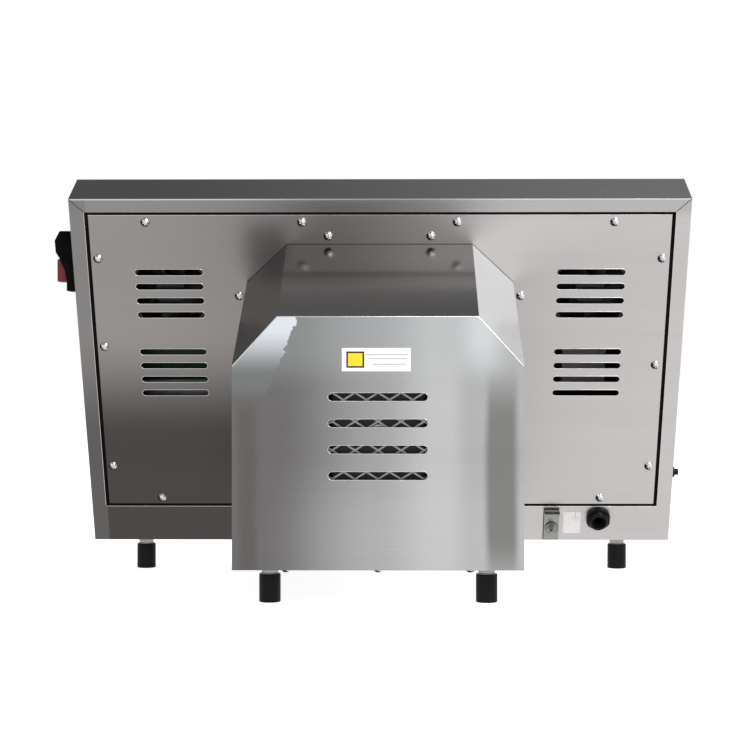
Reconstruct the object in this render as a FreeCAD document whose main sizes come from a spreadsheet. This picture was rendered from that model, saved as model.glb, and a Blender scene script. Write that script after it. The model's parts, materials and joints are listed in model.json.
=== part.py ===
import FreeCAD, Part
import Sketcher
import math
import os
import re
import sys

# Bench-top reflow oven, standing on its four feet with its front towards -Y.
# The casing is an upright slab leaning back at its top, with a deep hood behind it.
# The slab frame has its origin on the middle of the casing's rear top edge:
# X runs across the machine, Y leaves the rear face squarely and Z climbs the slope.

Vector = FreeCAD.Vector
Rotation = FreeCAD.Rotation
Placement = FreeCAD.Placement

SIZES = {
    # casing
    "body_width": 602.6, "body_depth": 57, "body_slant": 379.88, "lean_angle": 25, "sheet": 1.5,
    "floor_height": 30.8, "rear_edge_y": 45.3, "body_middle_x": -5.7, "front_slant": 406.46,
    "flange": 13.8, "rear_opening_width": 573.6, "rear_opening_bottom": 338.4,
    "panel_width": 566.4, "panel_top": 16.4, "panel_bottom": 336.4,
    "ledge_side": 30, "ledge_top": 30, "ledge_bottom": 322, "ledge_end": 341,
    "ledge_notch_width": 292, "ledge_notch_bottom": 332,
    # vents
    "vent_length": 67, "vent_height": 6.3, "vent_pitch": 15.2, "vent_x": 207.5,
    "vent_upper": 76.5, "vent_lower": 162.5, "front_vent_drop": 20,
    # hood
    "hood_width": 262, "hood_top_width": 181, "hood_top": 46.9, "hood_shoulder": 39.7,
    "hood_slope": 26, "hood_rear_y": 177.3, "hood_flange": 13,
    "hood_slot_length": 89.3, "hood_slot_height": 7.2, "hood_slot_pitch": 23.57,
    "hood_slot_z": 115.5, "hood_screw_y": 166,
    # screws and feet
    "screw_head": 9.3, "screw_dome": 3.2, "screw_shank": 4, "screw_length": 8,
    "cross_length": 4.8, "cross_width": 0.9, "cross_depth": 1.4,
    "foot_diameter": 19.6, "foot_height": 25.8, "foot_x": 249, "foot_y": -129.2,
    "hood_foot_x": 98.3, "hood_foot_y": 155.3, "stud_diameter": 6, "stud_top": 40,
    "nut_flats": 13, "nut_height": 3.2, "washer_diameter": 17, "washer_height": 1.3,
    "foot_disc": 18, "foot_disc_height": 0.5,
    # cable gland and earth terminal
    "gland_x": -226.5, "gland_s": 353, "gland_flats": 24, "gland_hex": 5, "gland_thread": 20,
    "gland_inside": 14, "gland_dome": 6, "gland_chamfer": 1.5, "gland_nut_flats": 20, "gland_mouth": 16,
    "gland_seal_diameter": 14, "gland_seal_inset": 3, "cable_bore": 9,
    "earth_x": -178, "earth_width": 15.6, "earth_top": 342.7, "earth_bottom": 378.5,
    "earth_bolt_s": 363.6, "earth_bolt": 5, "earth_plate": 2, "earth_shelf": 12,
    "earth_shank": 5.6, "earth_washer": 1.2, "earth_washer_diameter": 13, "earth_nut_flats": 8,
    "earth_nut_height": 4,
    "earth_inside": 8, "earth_free_end": 8,
    # labels
    "label_sheet": 0.2, "label_x": -29.4, "label_z": 209.2, "label_width": 61.7, "label_height": 20.9,
    "earth_label_x": -208.5, "earth_label_s": 371.5, "earth_label_width": 18, "earth_label_height": 25,
    # side switch and reset button
    "switch_rear_y": 0.5, "switch_top_z": 347.5, "switch_length": 59.5, "switch_width": 28,
    "switch_base": 9.4, "guard_lip": 16.4, "guard_height": 21.4, "guard_length": 26.5,
    "slope_middle": 39, "slope_end": 49, "switch_body_width": 22, "switch_body_length": 52,
    "switch_body_depth": 26, "press_clearance": 0.3,
    "start_near": 4.5, "start_top": 4.5, "start_width": 19, "start_length": 17, "start_seat": 3,
    "start_base": 7, "start_height": 14.5, "stop_near": 4, "stop_top": 27.5, "stop_width": 20,
    "stop_length": 22.6, "stop_seat": 4, "stop_base": 8, "stop_height": 19.4,
    "reset_s": 314, "reset_collar": 13, "reset_tip": 10.5, "reset_out": 6, "reset_pin": 6.4,
    "reset_reach": 10, "reset_stem": 8, "reset_inside": 16, "reset_bore": 12, "reset_base": 8,
    # oven cavity
    "cavity_width": 190, "cavity_reach": 260, "cavity_bottom": 90.5, "cavity_height": 133, "cavity_rear": 63,
    "liner_sheet": 1.2, "wool": 12, "jacket_sheet": 1, "baffle_y": 34,
    "tube_diameter": 9, "tube_z": 212, "tube_first_y": -72, "tube_pitch": 30, "tube_end": 100,
    "cap_diameter": 14, "cap_length": 10, "probe_diameter": 3, "probe_y": -20, "probe_z": 176,
    "probe_tip": 84, "probe_length": 42, "reflector_front": -82, "reflector_drop": 3,
    "reflector_sheet": 0.8, "shaft_clearance": 4, "baffle_hole": 7, "baffle_slot_x": 74,
    "baffle_slot_width": 24, "baffle_slot_height": 6, "baffle_slot_pitch": 15, "baffle_slot_z": 14,
    "support_length": 200, "support_width": 15,
    # convection motor
    "fan_axis_z": 150.9, "shaft_diameter": 6, "shaft_front": 40, "shaft_rear": 156,
    "impeller_diameter": 92, "impeller_depth": 17, "rotor_diameter": 41.4, "stator_bore": 42,
    "stator_size": 74, "stator_front": 96, "stator_length": 40, "bearing_diameter": 19,
    "bearing_width": 6, "bracket_front": 86, "bracket_rear": 144, "bracket_sheet": 2,
    "bracket_width": 84, "bracket_top": 192, "guard_y": 164, "guard_width": 124, "guard_rise": 104,
    "guard_bar": 1.6, "guard_pitch": 20.8, "guard_angle": 58, "guard_frame": 4,
    "stator_post": 8, "stator_post_inset": 5, "bracket_foot": 12, "bearing_proud": 2, "bearing_play": 0.1,
    "impeller_plate": 1.2, "impeller_hub": 18, "impeller_blade": 1,
    # electronics in the two wings
    "fan_size": 80, "fan_depth": 25, "fan_bore": 76, "fan_s": 99.3, "fan_hub": 30,
    "fan_boss": 8, "fan_boss_length": 14, "fan_strut": 4, "fan_strut_depth": 2, "fan_rotor_gap": 3,
    "fan_rotor_depth": 19, "fan_blade": 1.2, "supply_length": 129, "supply_height": 98, "supply_depth": 38,
    "supply_x": 137, "supply_s": 228, "relay_x": -230, "relay_s": 160,
    "relay_width": 45, "relay_height": 58, "relay_depth": 22,
    "block_width": 92, "block_height": 22, "block_depth": 20, "block_x": -258, "block_s": 286,
    "well_width": 12, "well_depth": 6, "well_pitch": 17, "well_margin": 3,
    "board_width": 130, "board_height": 156, "board_sheet": 1.6, "board_x": 142, "board_s": 60,
    "board_gap": 6.5,
    # controls on the front
    "control_x": 207, "display_s": 94, "bezel_width": 84, "bezel_height": 48, "bezel_proud": 3,
    "screen_width": 68, "screen_height": 32, "screen_proud": 1,
    "key_s": 142, "key_pitch": 26, "key_width": 16, "key_height": 10, "key_proud": 2.5,
    "key_depth": 8, "key_clearance": 0.4, "knob_s": 190, "knob_diameter": 34, "knob_height": 16,
    "knob_gap": 1, "knob_shaft": 6, "knob_shaft_length": 7, "knob_hole": 9, "encoder_size": 14,
    # drawer
    "mouth_width": 242, "mouth_top": 177.5, "mouth_bottom": 357, "drawer_width": 256,
    "drawer_top": 171, "drawer_bottom": 364, "drawer_back": 60.5, "drawer_thick": 14,
    "window_width": 136, "window_top": 240, "window_bottom": 310, "glass_lap": 4,
    "glass_thick": 4, "seal_width": 208, "seal_top": 181.5, "seal_bottom": 352.5,
    "seal_band": 7, "seal_gap": 0.3, "handle_s": 206, "handle_length": 190,
    "handle_diameter": 12, "handle_stand": 34, "post_diameter": 10, "post_spread": 160,
    "tray_width": 176, "tray_band": 8, "tray_bottom": 94, "tray_height": 12, "tray_rear": 27,
    "rack_wire": 3, "rack_width": 170, "rack_front": -132, "rack_rear": 24,
    "slide_z": 103, "slide_height": 30, "slide_thick": 9, "slide_sheet": 1.2,
    "slide_front": -132, "slide_rear": 58, "slide_bar": 4, "slide_lip": 3, "slide_play": 1.5,
    "slide_bar_rear": 38,
}

doc = FreeCAD.newDocument("reflow_oven")
sheet = doc.addObject("Spreadsheet::Sheet", "sizes")
for row, (alias, amount) in enumerate(SIZES.items(), start=1):
    sheet.set(f"A{row}", alias)
    sheet.set(f"B{row}", str(amount))
    sheet.setAlias(f"B{row}", alias)
doc.recompute()

WORD = re.compile(r"[a-z][a-z_]+")
NODES = []


def linked(expression):
    """The expression with each alias pointing at the sheet."""
    return WORD.sub(lambda m: f"sizes.{m[0]}" if m[0] in SIZES else m[0], str(expression))


def value(expression):
    """The number that an expression of the sheet's aliases stands for."""
    return float(sheet.evalExpression(linked(expression).replace("sizes.", "")))


LEAN = Rotation(Vector(1, 0, 0), -value("lean_angle"))
REAR_EDGE_Z = value("floor_height") + value("body_slant") * math.cos(math.radians(value("lean_angle")))
BENCH = Placement(Vector(value("body_middle_x"), 0, 0), Rotation())
SLAB = Placement(Vector(value("body_middle_x"), value("rear_edge_y"), REAR_EDGE_Z), LEAN)

ALONG_X = Rotation(Vector(0, 1, 0), 90)
ALONG_Y = Rotation(Vector(1, 0, 0), -90)
ALONG_Z = Rotation()

# Sizes of cutters only: one larger than the whole machine, one longer than any hole is deep.
SPAN = 1400
THROUGH = 60


def spot(frame, x, y, z, turn=ALONG_Z):
    """A placement inside a frame, from three expressions."""
    return frame.multiply(Placement(Vector(value(x), value(y), value(z)), turn))


def box(frame, x, y, z, length, width, height, name="block"):
    item = doc.addObject("Part::Box", name)
    item.setExpression("Length", linked(length))
    item.setExpression("Width", linked(width))
    item.setExpression("Height", linked(height))
    item.Placement = spot(frame, x, y, z)
    return item


def rod(frame, x, y, z, diameter, length, turn=ALONG_Z, name="rod"):
    item = doc.addObject("Part::Cylinder", name)
    item.setExpression("Radius", linked(f"({diameter}) / 2"))
    item.setExpression("Height", linked(length))
    item.Placement = spot(frame, x, y, z, turn)
    return item


def through(frame, x, y, z, diameter, turn=ALONG_Z):
    """The cutter of a hole, reaching well past its point both ways."""
    return rod(spot(frame, x, y, z, turn), 0, 0, -THROUGH / 2, diameter, THROUGH)


def cone(frame, x, y, z, low, high, length, turn=ALONG_Z):
    item = doc.addObject("Part::Cone", "cone")
    item.setExpression("Radius1", linked(f"({low}) / 2"))
    item.setExpression("Radius2", linked(f"({high}) / 2"))
    item.setExpression("Height", linked(length))
    item.Placement = spot(frame, x, y, z, turn)
    return item


def hexagon(frame, x, y, z, flats, length, turn=ALONG_Z):
    item = doc.addObject("Part::Prism", "hexagon")
    item.Polygon = 6
    item.setExpression("Circumradius", linked(f"({flats}) / 1.7320508"))
    item.setExpression("Height", linked(length))
    item.Placement = spot(frame, x, y, z, turn)
    return item


def dome(frame, x, y, z, diameter, height, turn=ALONG_Z):
    """A shallow screw head: a spherical cap standing on its flat side."""
    wide = value(diameter) / 2
    tall = value(height)
    radius = (wide * wide + tall * tall) / (2 * tall)
    item = doc.addObject("Part::Sphere", "dome")
    item.setExpression("Radius", linked(f"(({diameter})^2 / 4 + ({height})^2) / (2 * ({height}))"))
    item.Angle1 = math.degrees(math.asin((radius - tall) / radius))
    item.Angle2 = 90
    item.Placement = spot(frame, x, y, z, turn).multiply(Placement(Vector(0, 0, tall - radius), Rotation()))
    return item


def join(*items):
    fused = doc.addObject("Part::MultiFuse", "joined")
    fused.Shapes = list(items)
    return fused


def group(*items):
    together = doc.addObject("Part::Compound", "group")
    together.Links = list(items)
    return together


def cut(base, *tools):
    result = doc.addObject("Part::Cut", "cut")
    result.Base = base
    result.Tool = tools[0] if len(tools) == 1 else group(*tools)
    return result


def trim(base, tool):
    """What two solids have in common."""
    result = doc.addObject("Part::Common", "trimmed")
    result.Base = base
    result.Tool = tool
    return result


def node(name, item):
    """Name a finished sub-part; the name is its label and its file."""
    item.Label = name
    NODES.append(item)
    return item


def ready_made(shape, frame=BENCH):
    """A sub-part whose shape comes from a loop; its placement is its frame."""
    item = doc.addObject("Part::Feature", "made")
    item.Shape = shape
    item.Placement = frame
    return item


def body(name, frame):
    item = doc.addObject("PartDesign::Body", name)
    item.Placement = frame
    return item


def sketch(owner, role, offset="0", turn=ALONG_Z):
    """A sketch on one of the body's own origin planes, moved along the plane's normal."""
    item = owner.newObject("Sketcher::SketchObject", "profile")
    plane = [p for p in owner.Origin.OriginFeatures if p.Role == role]
    item.AttachmentSupport = [(plane[0], "")]
    item.MapMode = "FlatFace"
    item.AttachmentOffset = Placement(Vector(0, 0, value(offset)), turn)
    return item


def outline(profile, *corners):
    """A closed straight-sided outline with every corner bound to the sheet."""
    spots = [Vector(value(x), value(y), 0) for x, y in corners]
    first = profile.GeometryCount
    for i, start in enumerate(spots):
        profile.addGeometry(Part.LineSegment(start, spots[(i + 1) % len(spots)]), False)
    for i, (x, y) in enumerate(corners):
        follower = first + (i + 1) % len(spots)
        profile.addConstraint(Sketcher.Constraint("Coincident", first + i, 2, follower, 1))
        for kind, expression, start in (("DistanceX", x, spots[i].x), ("DistanceY", y, spots[i].y)):
            at = profile.addConstraint(Sketcher.Constraint(kind, -1, 1, first + i, 1, start))
            profile.setExpression(f"Constraints[{at}]", linked(expression))


def rectangle(profile, x_low, y_low, x_high, y_high):
    outline(profile, (x_low, y_low), (x_high, y_low), (x_high, y_high), (x_low, y_high))


def slot(profile, x, y, length, height):
    """A round-ended slot lying along the sketch's X."""
    middle = Vector(value(x), value(y), 0)
    radius = value(height) / 2
    reach = Vector(value(length) / 2 - radius, 0, 0)
    rise = Vector(0, radius, 0)
    up = Vector(0, 0, 1)
    quarter = math.pi / 2
    first = profile.GeometryCount
    profile.addGeometry(Part.LineSegment(middle - reach - rise, middle + reach - rise), False)
    right = Part.Circle(middle + reach, up, radius)
    profile.addGeometry(Part.ArcOfCircle(right, -quarter, quarter), False)
    profile.addGeometry(Part.LineSegment(middle + reach + rise, middle - reach + rise), False)
    left = Part.Circle(middle - reach, up, radius)
    profile.addGeometry(Part.ArcOfCircle(left, quarter, 3 * quarter), False)
    for i in range(4):
        follower = first + (i + 1) % 4
        profile.addConstraint(Sketcher.Constraint("Tangent", first + i, 2, follower, 1))
    profile.addConstraint(Sketcher.Constraint("Horizontal", first))
    bound = (
        ("Radius", (first + 1,), f"({height}) / 2"),
        ("DistanceX", (-1, 1, first + 1, 3), f"({x}) + (({length}) - ({height})) / 2"),
        ("DistanceY", (-1, 1, first + 1, 3), y),
        ("DistanceX", (-1, 1, first + 3, 3), f"({x}) - (({length}) - ({height})) / 2"),
    )
    for kind, where, expression in bound:
        at = profile.addConstraint(Sketcher.Constraint(kind, *where, value(expression)))
        profile.setExpression(f"Constraints[{at}]", linked(expression))


def pad(owner, profile, length, midplane=False, reverse=False):
    feature = owner.newObject("PartDesign::Pad", "pad")
    feature.Profile = profile
    feature.setExpression("Length", linked(length))
    feature.Midplane = midplane
    feature.Reversed = reverse
    doc.recompute()
    return feature


def pocket(owner, profile, length, midplane=False, reverse=False):
    """A pocket; the volume shows that it really cut something."""
    before = owner.Shape.Volume
    feature = owner.newObject("PartDesign::Pocket", "pocket")
    feature.Profile = profile
    feature.setExpression("Length", linked(length))
    feature.Midplane = midplane
    feature.Reversed = reverse
    doc.recompute()
    if not owner.Shape.Volume < before - 0.01:
        raise RuntimeError(f"{owner.Name}: a pocket cut nothing")
    return feature


def rows_of(owner, feature, pitch, number):
    """Repeat a feature down the slope of the plate."""
    pattern = owner.newObject("PartDesign::LinearPattern", "rows")
    pattern.Originals = [feature]
    axis = [a for a in owner.Origin.OriginFeatures if a.Role == "Z_Axis"]
    pattern.Direction = (axis[0], [""])
    pattern.Reversed = True
    pattern.Occurrences = number
    pattern.setExpression("Length", linked(f"({pitch}) * {number - 1}"))
    owner.Tip = pattern
    doc.recompute()
    return pattern


# Places where the screws of the rear panel sit: across, and down the slope.
TOP_ROW = [(x, 24) for x in (-228, -75.5, 75.5, 228)]
LEFT_ROW = [(276.5, s) for s in (62, 157, 292)]
RIGHT_ROW = [(-276, s) for s in (62, 177, 292)]
BOTTOM_ROW = [(x, 329.4) for x in (-227.5, 227.5)]
HOOD_ROW = [(-139, 101.7), (-50, 38.4), (50, 38.4), (139, 101.7)]
PANEL_SCREWS = TOP_ROW + LEFT_ROW + RIGHT_ROW + BOTTOM_ROW + HOOD_ROW
FLOOR_SCREWS = (-83, 0, 83)


def panel_holes():
    """Clearance for the screws that stand square to the rear panel."""
    return [through(SLAB, x, 0, -s, "screw_shank", ALONG_Y) for x, s in PANEL_SCREWS]


def space(frame, axis, start, side):
    """A block larger than the machine, filling one side of a plane square to an axis."""
    corner = {"x": -SPAN / 2, "y": -SPAN / 2, "z": -SPAN / 2}
    corner[axis] = start if side > 0 else f"({start}) - {SPAN}"
    return box(frame, corner["x"], corner["y"], corner["z"], SPAN, SPAN, SPAN)


def front_space(depth):
    """Everything in front of a plane of the slab, used to trim pieces to its slope."""
    return space(SLAB, "y", f"-({depth})", -1)


def rear_space(depth):
    """Everything behind a plane of the slab."""
    return space(SLAB, "y", depth, 1)


def make_body_shell():
    item = body("shell", SLAB)
    side = sketch(item, "YZ_Plane")
    outline(side, ("0", "0"), ("0", "-body_slant"), ("-body_depth", "-front_slant"), ("-body_depth", "0"))
    pad(item, side, "body_width", midplane=True)
    inside = sketch(item, "YZ_Plane")
    rectangle(inside, "-body_depth - 1", "-front_slant - 1", "-sheet", "-sheet")
    pocket(item, inside, "body_width - 2 * sheet", midplane=True)
    window = sketch(item, "XZ_Plane")
    rectangle(window, "-rear_opening_width / 2", "-rear_opening_bottom", "rear_opening_width / 2", "-flange")
    pocket(item, window, "4 * sheet", midplane=True)
    switch = switch_middle("-2 * sheet", "4 * sheet")
    reset = through(SLAB, "-body_width / 2", "-body_depth / 2", "-reset_s", "reset_stem", ALONG_X)
    gland = through(SLAB, "gland_x", 0, "-gland_s", "gland_thread", ALONG_Y)
    earth = through(SLAB, "earth_x", 0, "-earth_bolt_s", "earth_shank", ALONG_Y)
    return node("body_shell", cut(item, switch, reset, gland, earth))


def make_base_plate():
    """The bottom of the slab, flat on its feet, with ends that follow the slope."""
    width = "body_width - 2 * sheet"
    plate = box(BENCH, f"-({width}) / 2", -SPAN / 2, "floor_height", width, SPAN, "sheet")
    holes = [through(BENCH, f"{side} * foot_x", "foot_y", "floor_height", "stud_diameter")
             for side in (-1, 1)]
    return node("base_plate", cut(plate, front_space("body_depth"), rear_space("-sheet"), *holes))


def make_hood_floor():
    width = "hood_width - 2 * sheet"
    reach = f"hood_rear_y - sheet + {SPAN / 2}"
    plate = box(BENCH, f"-({width}) / 2", -SPAN / 2, "floor_height", width, reach, "sheet")
    studs = [through(BENCH, f"{side} * hood_foot_x", "hood_foot_y", "floor_height", "stud_diameter")
             for side in (-1, 1)]
    screws = [through(BENCH, x, "hood_screw_y", "floor_height", "screw_shank") for x in FLOOR_SCREWS]
    return node("hood_floor", cut(plate, front_space("0"), *studs, *screws))


def make_panel_ledge():
    """A frame behind the rear opening that the panel is screwed to."""
    outer = box(SLAB, "-body_width / 2 + sheet", "-2 * sheet", "-ledge_end", "body_width - 2 * sheet",
                "sheet", "ledge_end - sheet")
    inner = box(SLAB, "-body_width / 2 + ledge_side", "-3 * sheet", "-ledge_bottom",
                "body_width - 2 * ledge_side", "4 * sheet", "ledge_bottom - ledge_top")
    notch = box(SLAB, "-ledge_notch_width / 2", "-3 * sheet", "-ledge_notch_bottom", "ledge_notch_width",
                "4 * sheet", "ledge_notch_bottom - ledge_top")
    return node("panel_ledge", cut(outer, inner, notch, *panel_holes()))


def make_rear_panel():
    """A flat panel with a notch for the hood and two blocks of vents in each wing."""
    item = body("panel", SLAB)
    face = sketch(item, "XZ_Plane")
    outline(face, ("-panel_width / 2", "-panel_top"), ("panel_width / 2", "-panel_top"),
            ("panel_width / 2", "-panel_bottom"), ("hood_width / 2", "-panel_bottom"),
            ("hood_width / 2", "-hood_top - hood_shoulder"), ("hood_top_width / 2", "-hood_top"),
            ("-hood_top_width / 2", "-hood_top"), ("-hood_width / 2", "-hood_top - hood_shoulder"),
            ("-hood_width / 2", "-panel_bottom"), ("-panel_width / 2", "-panel_bottom"))
    pad(item, face, "sheet")
    for block in ("vent_upper", "vent_lower"):
        for side in (-1, 1):
            row = sketch(item, "XZ_Plane")
            slot(row, f"{side} * vent_x", f"-{block}", "vent_length", "vent_height")
            rows_of(item, pocket(item, row, "4 * sheet", midplane=True), "vent_pitch", 4)
    return node("rear_panel", cut(item, *panel_holes()))


def hood_prism(inset):
    """The hood's section, a box with sloping shoulders, run back and down from the rear panel."""
    frame = spot(SLAB, 0, 0, "-hood_top", Rotation(Vector(1, 0, 0), value("lean_angle - hood_slope")))
    steep = math.atan2(value("hood_shoulder"), value("(hood_width - hood_top_width) / 2"))
    near = math.tan(steep / 2)
    far = math.tan(math.pi / 4 - steep / 2)
    top_x = f"(hood_top_width / 2 - {inset} * {near:.6f})"
    side_x = f"(hood_width / 2 - {inset})"
    shoulder = f"-hood_shoulder - {inset} * {far:.6f}"
    item = body("prism", frame)
    section = sketch(item, "XZ_Plane")
    low = -SPAN / 2
    outline(section, (f"-{top_x}", f"-{inset}"), (f"-{side_x}", shoulder), (f"-{side_x}", low),
            (side_x, low), (side_x, shoulder), (top_x, f"-{inset}"))
    pad(item, section, SPAN / 2, midplane=True)
    return item


def hood_outline(face, wider):
    """The hood's section where it meets the panel, grown by the given amount."""
    mitre = f"{wider} * {math.tan(math.radians(22)):.4f}"
    side_x = f"(hood_width / 2 + {wider})"
    top_x = f"(hood_top_width / 2 + {mitre})"
    shoulder = f"-hood_top - hood_shoulder + {mitre}"
    outline(face, (f"-{side_x}", "-ledge_notch_bottom + 1"), (side_x, "-ledge_notch_bottom + 1"),
            (side_x, shoulder), (top_x, f"-hood_top + {wider}"),
            (f"-{top_x}", f"-hood_top + {wider}"), (f"-{side_x}", shoulder))


def make_rear_hood():
    """A folded cover whose flange lies behind the panel, with four long vents over the motor."""
    outer = cut(hood_prism("0"), space(BENCH, "y", "hood_rear_y", 1), space(BENCH, "z", "floor_height", -1))
    inner = cut(hood_prism("sheet"), space(BENCH, "y", "hood_rear_y - sheet", 1))
    flange = body("flange", SLAB)
    face = sketch(flange, "XZ_Plane", "sheet")
    hood_outline(face, "hood_flange")
    pad(flange, face, "sheet")
    hole = sketch(flange, "XZ_Plane")
    hood_outline(hole, "0")
    pocket(flange, hole, "8 * sheet", midplane=True)
    wrap = cut(outer, inner, front_space("2 * sheet"),
               trim(front_space("sheet"), space(SLAB, "z", "-ledge_notch_bottom + 1", -1)),
               trim(front_space("0"), space(SLAB, "z", "-panel_bottom", -1)))
    vents = []
    for row in range(4):
        vent = body("vent", BENCH)
        face = sketch(vent, "XZ_Plane", "-hood_rear_y")
        slot(face, "0", f"hood_slot_z + {row} * hood_slot_pitch", "hood_slot_length", "hood_slot_height")
        pad(vent, face, "6 * sheet", midplane=True)
        vents.append(vent)
    return node("rear_hood", cut(join(wrap, flange), *vents, *panel_holes()))


def make_front_fascia():
    """The sloping front sheet: drawer mouth, vents on one side, control cut-outs on the other."""
    item = body("fascia", SLAB)
    face = sketch(item, "XZ_Plane", "body_depth - sheet")
    rectangle(face, "-body_width / 2 + sheet", "-front_slant - 5", "body_width / 2 - sheet", "-sheet")
    pad(item, face, "sheet")
    mouth = sketch(item, "XZ_Plane", "body_depth")
    rectangle(mouth, "-mouth_width / 2", "-mouth_bottom", "mouth_width / 2", "-mouth_top")
    pocket(item, mouth, "4 * sheet", midplane=True)
    screen = sketch(item, "XZ_Plane", "body_depth")
    rectangle(screen, "control_x - screen_width / 2", "-display_s - screen_height / 2",
              "control_x + screen_width / 2", "-display_s + screen_height / 2")
    pocket(item, screen, "4 * sheet", midplane=True)
    for block in ("vent_upper", "vent_lower"):
        row = sketch(item, "XZ_Plane", "body_depth")
        slot(row, "-vent_x", f"-{block} - front_vent_drop", "vent_length", "vent_height")
        rows_of(item, pocket(item, row, "4 * sheet", midplane=True), "vent_pitch", 4)
    keys = [key_block(i, "key_clearance", "-body_depth - 2 * sheet", "4 * sheet") for i in range(4)]
    shaft = through(SLAB, "control_x", "-body_depth", "-knob_s", "knob_hole", ALONG_Y)
    below = space(BENCH, "z", "floor_height + sheet", -1)
    return node("front_fascia", cut(item, below, shaft, *keys))


def key_block(i, margin, y, depth):
    """A block of one key's size, grown by a margin all round."""
    across = f"control_x + ({i} - 1.5) * key_pitch - key_width / 2 - {margin}"
    down = f"-key_s - key_height / 2 - {margin}"
    return box(SLAB, across, y, down, f"key_width + 2 * {margin}", depth, f"key_height + 2 * {margin}")


def make_screws():
    """Pan-head screws, each with a cross recess: the rear panel's, and three under the hood."""
    screws = []
    places = [spot(SLAB, x, 0, -s, ALONG_Y) for x, s in PANEL_SCREWS]
    under = Rotation(Vector(1, 0, 0), 180)
    places += [spot(BENCH, x, "hood_screw_y", "floor_height", under) for x in FLOOR_SCREWS]
    for place in places:
        head = dome(place, 0, 0, 0, "screw_head", "screw_dome")
        shank = rod(place, 0, 0, "-screw_length", "screw_shank", "screw_length")
        slots = [box(place, f"-{along} / 2", f"-{across} / 2", "screw_dome - cross_depth", along, across,
                     "screw_dome")
                 for along, across in (("cross_length", "cross_width"), ("cross_width", "cross_length"))]
        screws.append(cut(join(head, shank), *slots))
    return node("panel_screws", group(*screws))


def foot_places():
    for side in (-1, 1):
        yield f"{side} * foot_x", "foot_y"
        yield f"{side} * hood_foot_x", "hood_foot_y"


def make_feet():
    """Rubber barrels bonded to discs with threaded studs, each held by a nut on either side of the floor."""
    rubbers = []
    fasteners = []
    for x, y in foot_places():
        rubbers.append(rod(BENCH, x, y, 0, "foot_diameter", "foot_height"))
        disc = rod(BENCH, x, y, "foot_height", "foot_disc", "foot_disc_height")
        stud = rod(BENCH, x, y, "foot_height", "stud_diameter", "stud_top - foot_height")
        fasteners.append(join(disc, stud))
        washer = rod(BENCH, x, y, "floor_height - washer_height", "washer_diameter", "washer_height")
        below = hexagon(BENCH, x, y, "floor_height - nut_height - washer_height", "nut_flats", "nut_height")
        above = hexagon(BENCH, x, y, "floor_height + sheet", "nut_flats", "nut_height")
        for nut in (join(washer, below), above):
            fasteners.append(cut(nut, through(BENCH, x, y, "floor_height", "stud_diameter")))
    node("foot_rubbers", group(*rubbers))
    node("foot_fasteners", group(*fasteners))


def make_gland():
    """A cable gland of the 13.5 size: hexagon body through the wall, hexagon nut, rubber seal."""
    x = "gland_x"
    z = "-gland_s"
    sixth = ALONG_Y.multiply(Rotation(Vector(0, 0, 1), 30))
    inner = rod(SLAB, x, "-gland_inside", z, "gland_thread", "gland_inside", ALONG_Y)
    hexed = hexagon(SLAB, x, 0, z, "gland_flats", "gland_hex", sixth)
    round_off = through(SLAB, x, 0, z, "gland_flats + gland_chamfer", ALONG_Y)
    seat = through(SLAB, x, 0, z, "gland_seal_diameter", ALONG_Y)
    node("gland_body", cut(trim(join(inner, hexed), round_off), seat))
    nut = hexagon(SLAB, x, "gland_hex", z, "gland_nut_flats", "gland_dome", sixth)
    taper = cone(SLAB, x, "gland_hex", z, "gland_nut_flats + 5", "gland_mouth + gland_chamfer", "gland_dome",
                 ALONG_Y)
    mouth = through(SLAB, x, 0, z, "gland_seal_diameter", ALONG_Y)
    node("gland_nut", cut(trim(nut, taper), mouth))
    plug = rod(SLAB, x, "-gland_inside + gland_seal_inset", z, "gland_seal_diameter",
               "gland_inside + gland_hex + gland_dome - 2 * gland_seal_inset", ALONG_Y)
    bore = through(SLAB, x, 0, z, "cable_bore", ALONG_Y)
    node("gland_seal", cut(plug, bore))


def make_earth_terminal():
    """The equipotential terminal: a bent bracket, a stud through the wall, washer and nuts."""
    left = "earth_x - earth_width / 2"
    plate = box(SLAB, left, 0, "-earth_bottom", "earth_width", "earth_plate", "earth_bottom - earth_top")
    shelf = box(SLAB, left, 0, "-earth_top - earth_plate", "earth_width", "earth_shelf", "earth_plate")
    hole = through(SLAB, "earth_x", 0, "-earth_bolt_s", "earth_shank", ALONG_Y)
    node("earth_bracket", cut(join(plate, shelf), hole))
    face = "earth_plate + earth_washer + earth_nut_height"
    shank = rod(SLAB, "earth_x", "-earth_inside", "-earth_bolt_s", "earth_shank", f"earth_inside + {face}",
                ALONG_Y)
    tip = rod(SLAB, "earth_x", face, "-earth_bolt_s", "earth_bolt", "earth_free_end", ALONG_Y)
    washer = rod(SLAB, "earth_x", "earth_plate", "-earth_bolt_s", "earth_washer_diameter", "earth_washer",
                 ALONG_Y)
    nut = hexagon(SLAB, "earth_x", "earth_plate + earth_washer", "-earth_bolt_s", "earth_nut_flats",
                  "earth_nut_height", ALONG_Y)
    back = hexagon(SLAB, "earth_x", "-sheet - earth_nut_height", "-earth_bolt_s", "earth_nut_flats",
                   "earth_nut_height", ALONG_Y)
    rings = []
    for piece in (washer, nut, back):
        rings.append(cut(piece, through(SLAB, "earth_x", 0, "-earth_bolt_s", "earth_shank", ALONG_Y)))
    node("earth_fasteners", group(join(shank, tip), *rings))


def make_labels():
    rating = box(BENCH, "label_x", "hood_rear_y", "label_z", "label_width", "label_sheet", "label_height")
    earth = box(SLAB, "earth_label_x", 0, "-earth_label_s", "earth_label_width", "label_sheet",
                "earth_label_height")
    node("labels", group(rating, earth))


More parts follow.
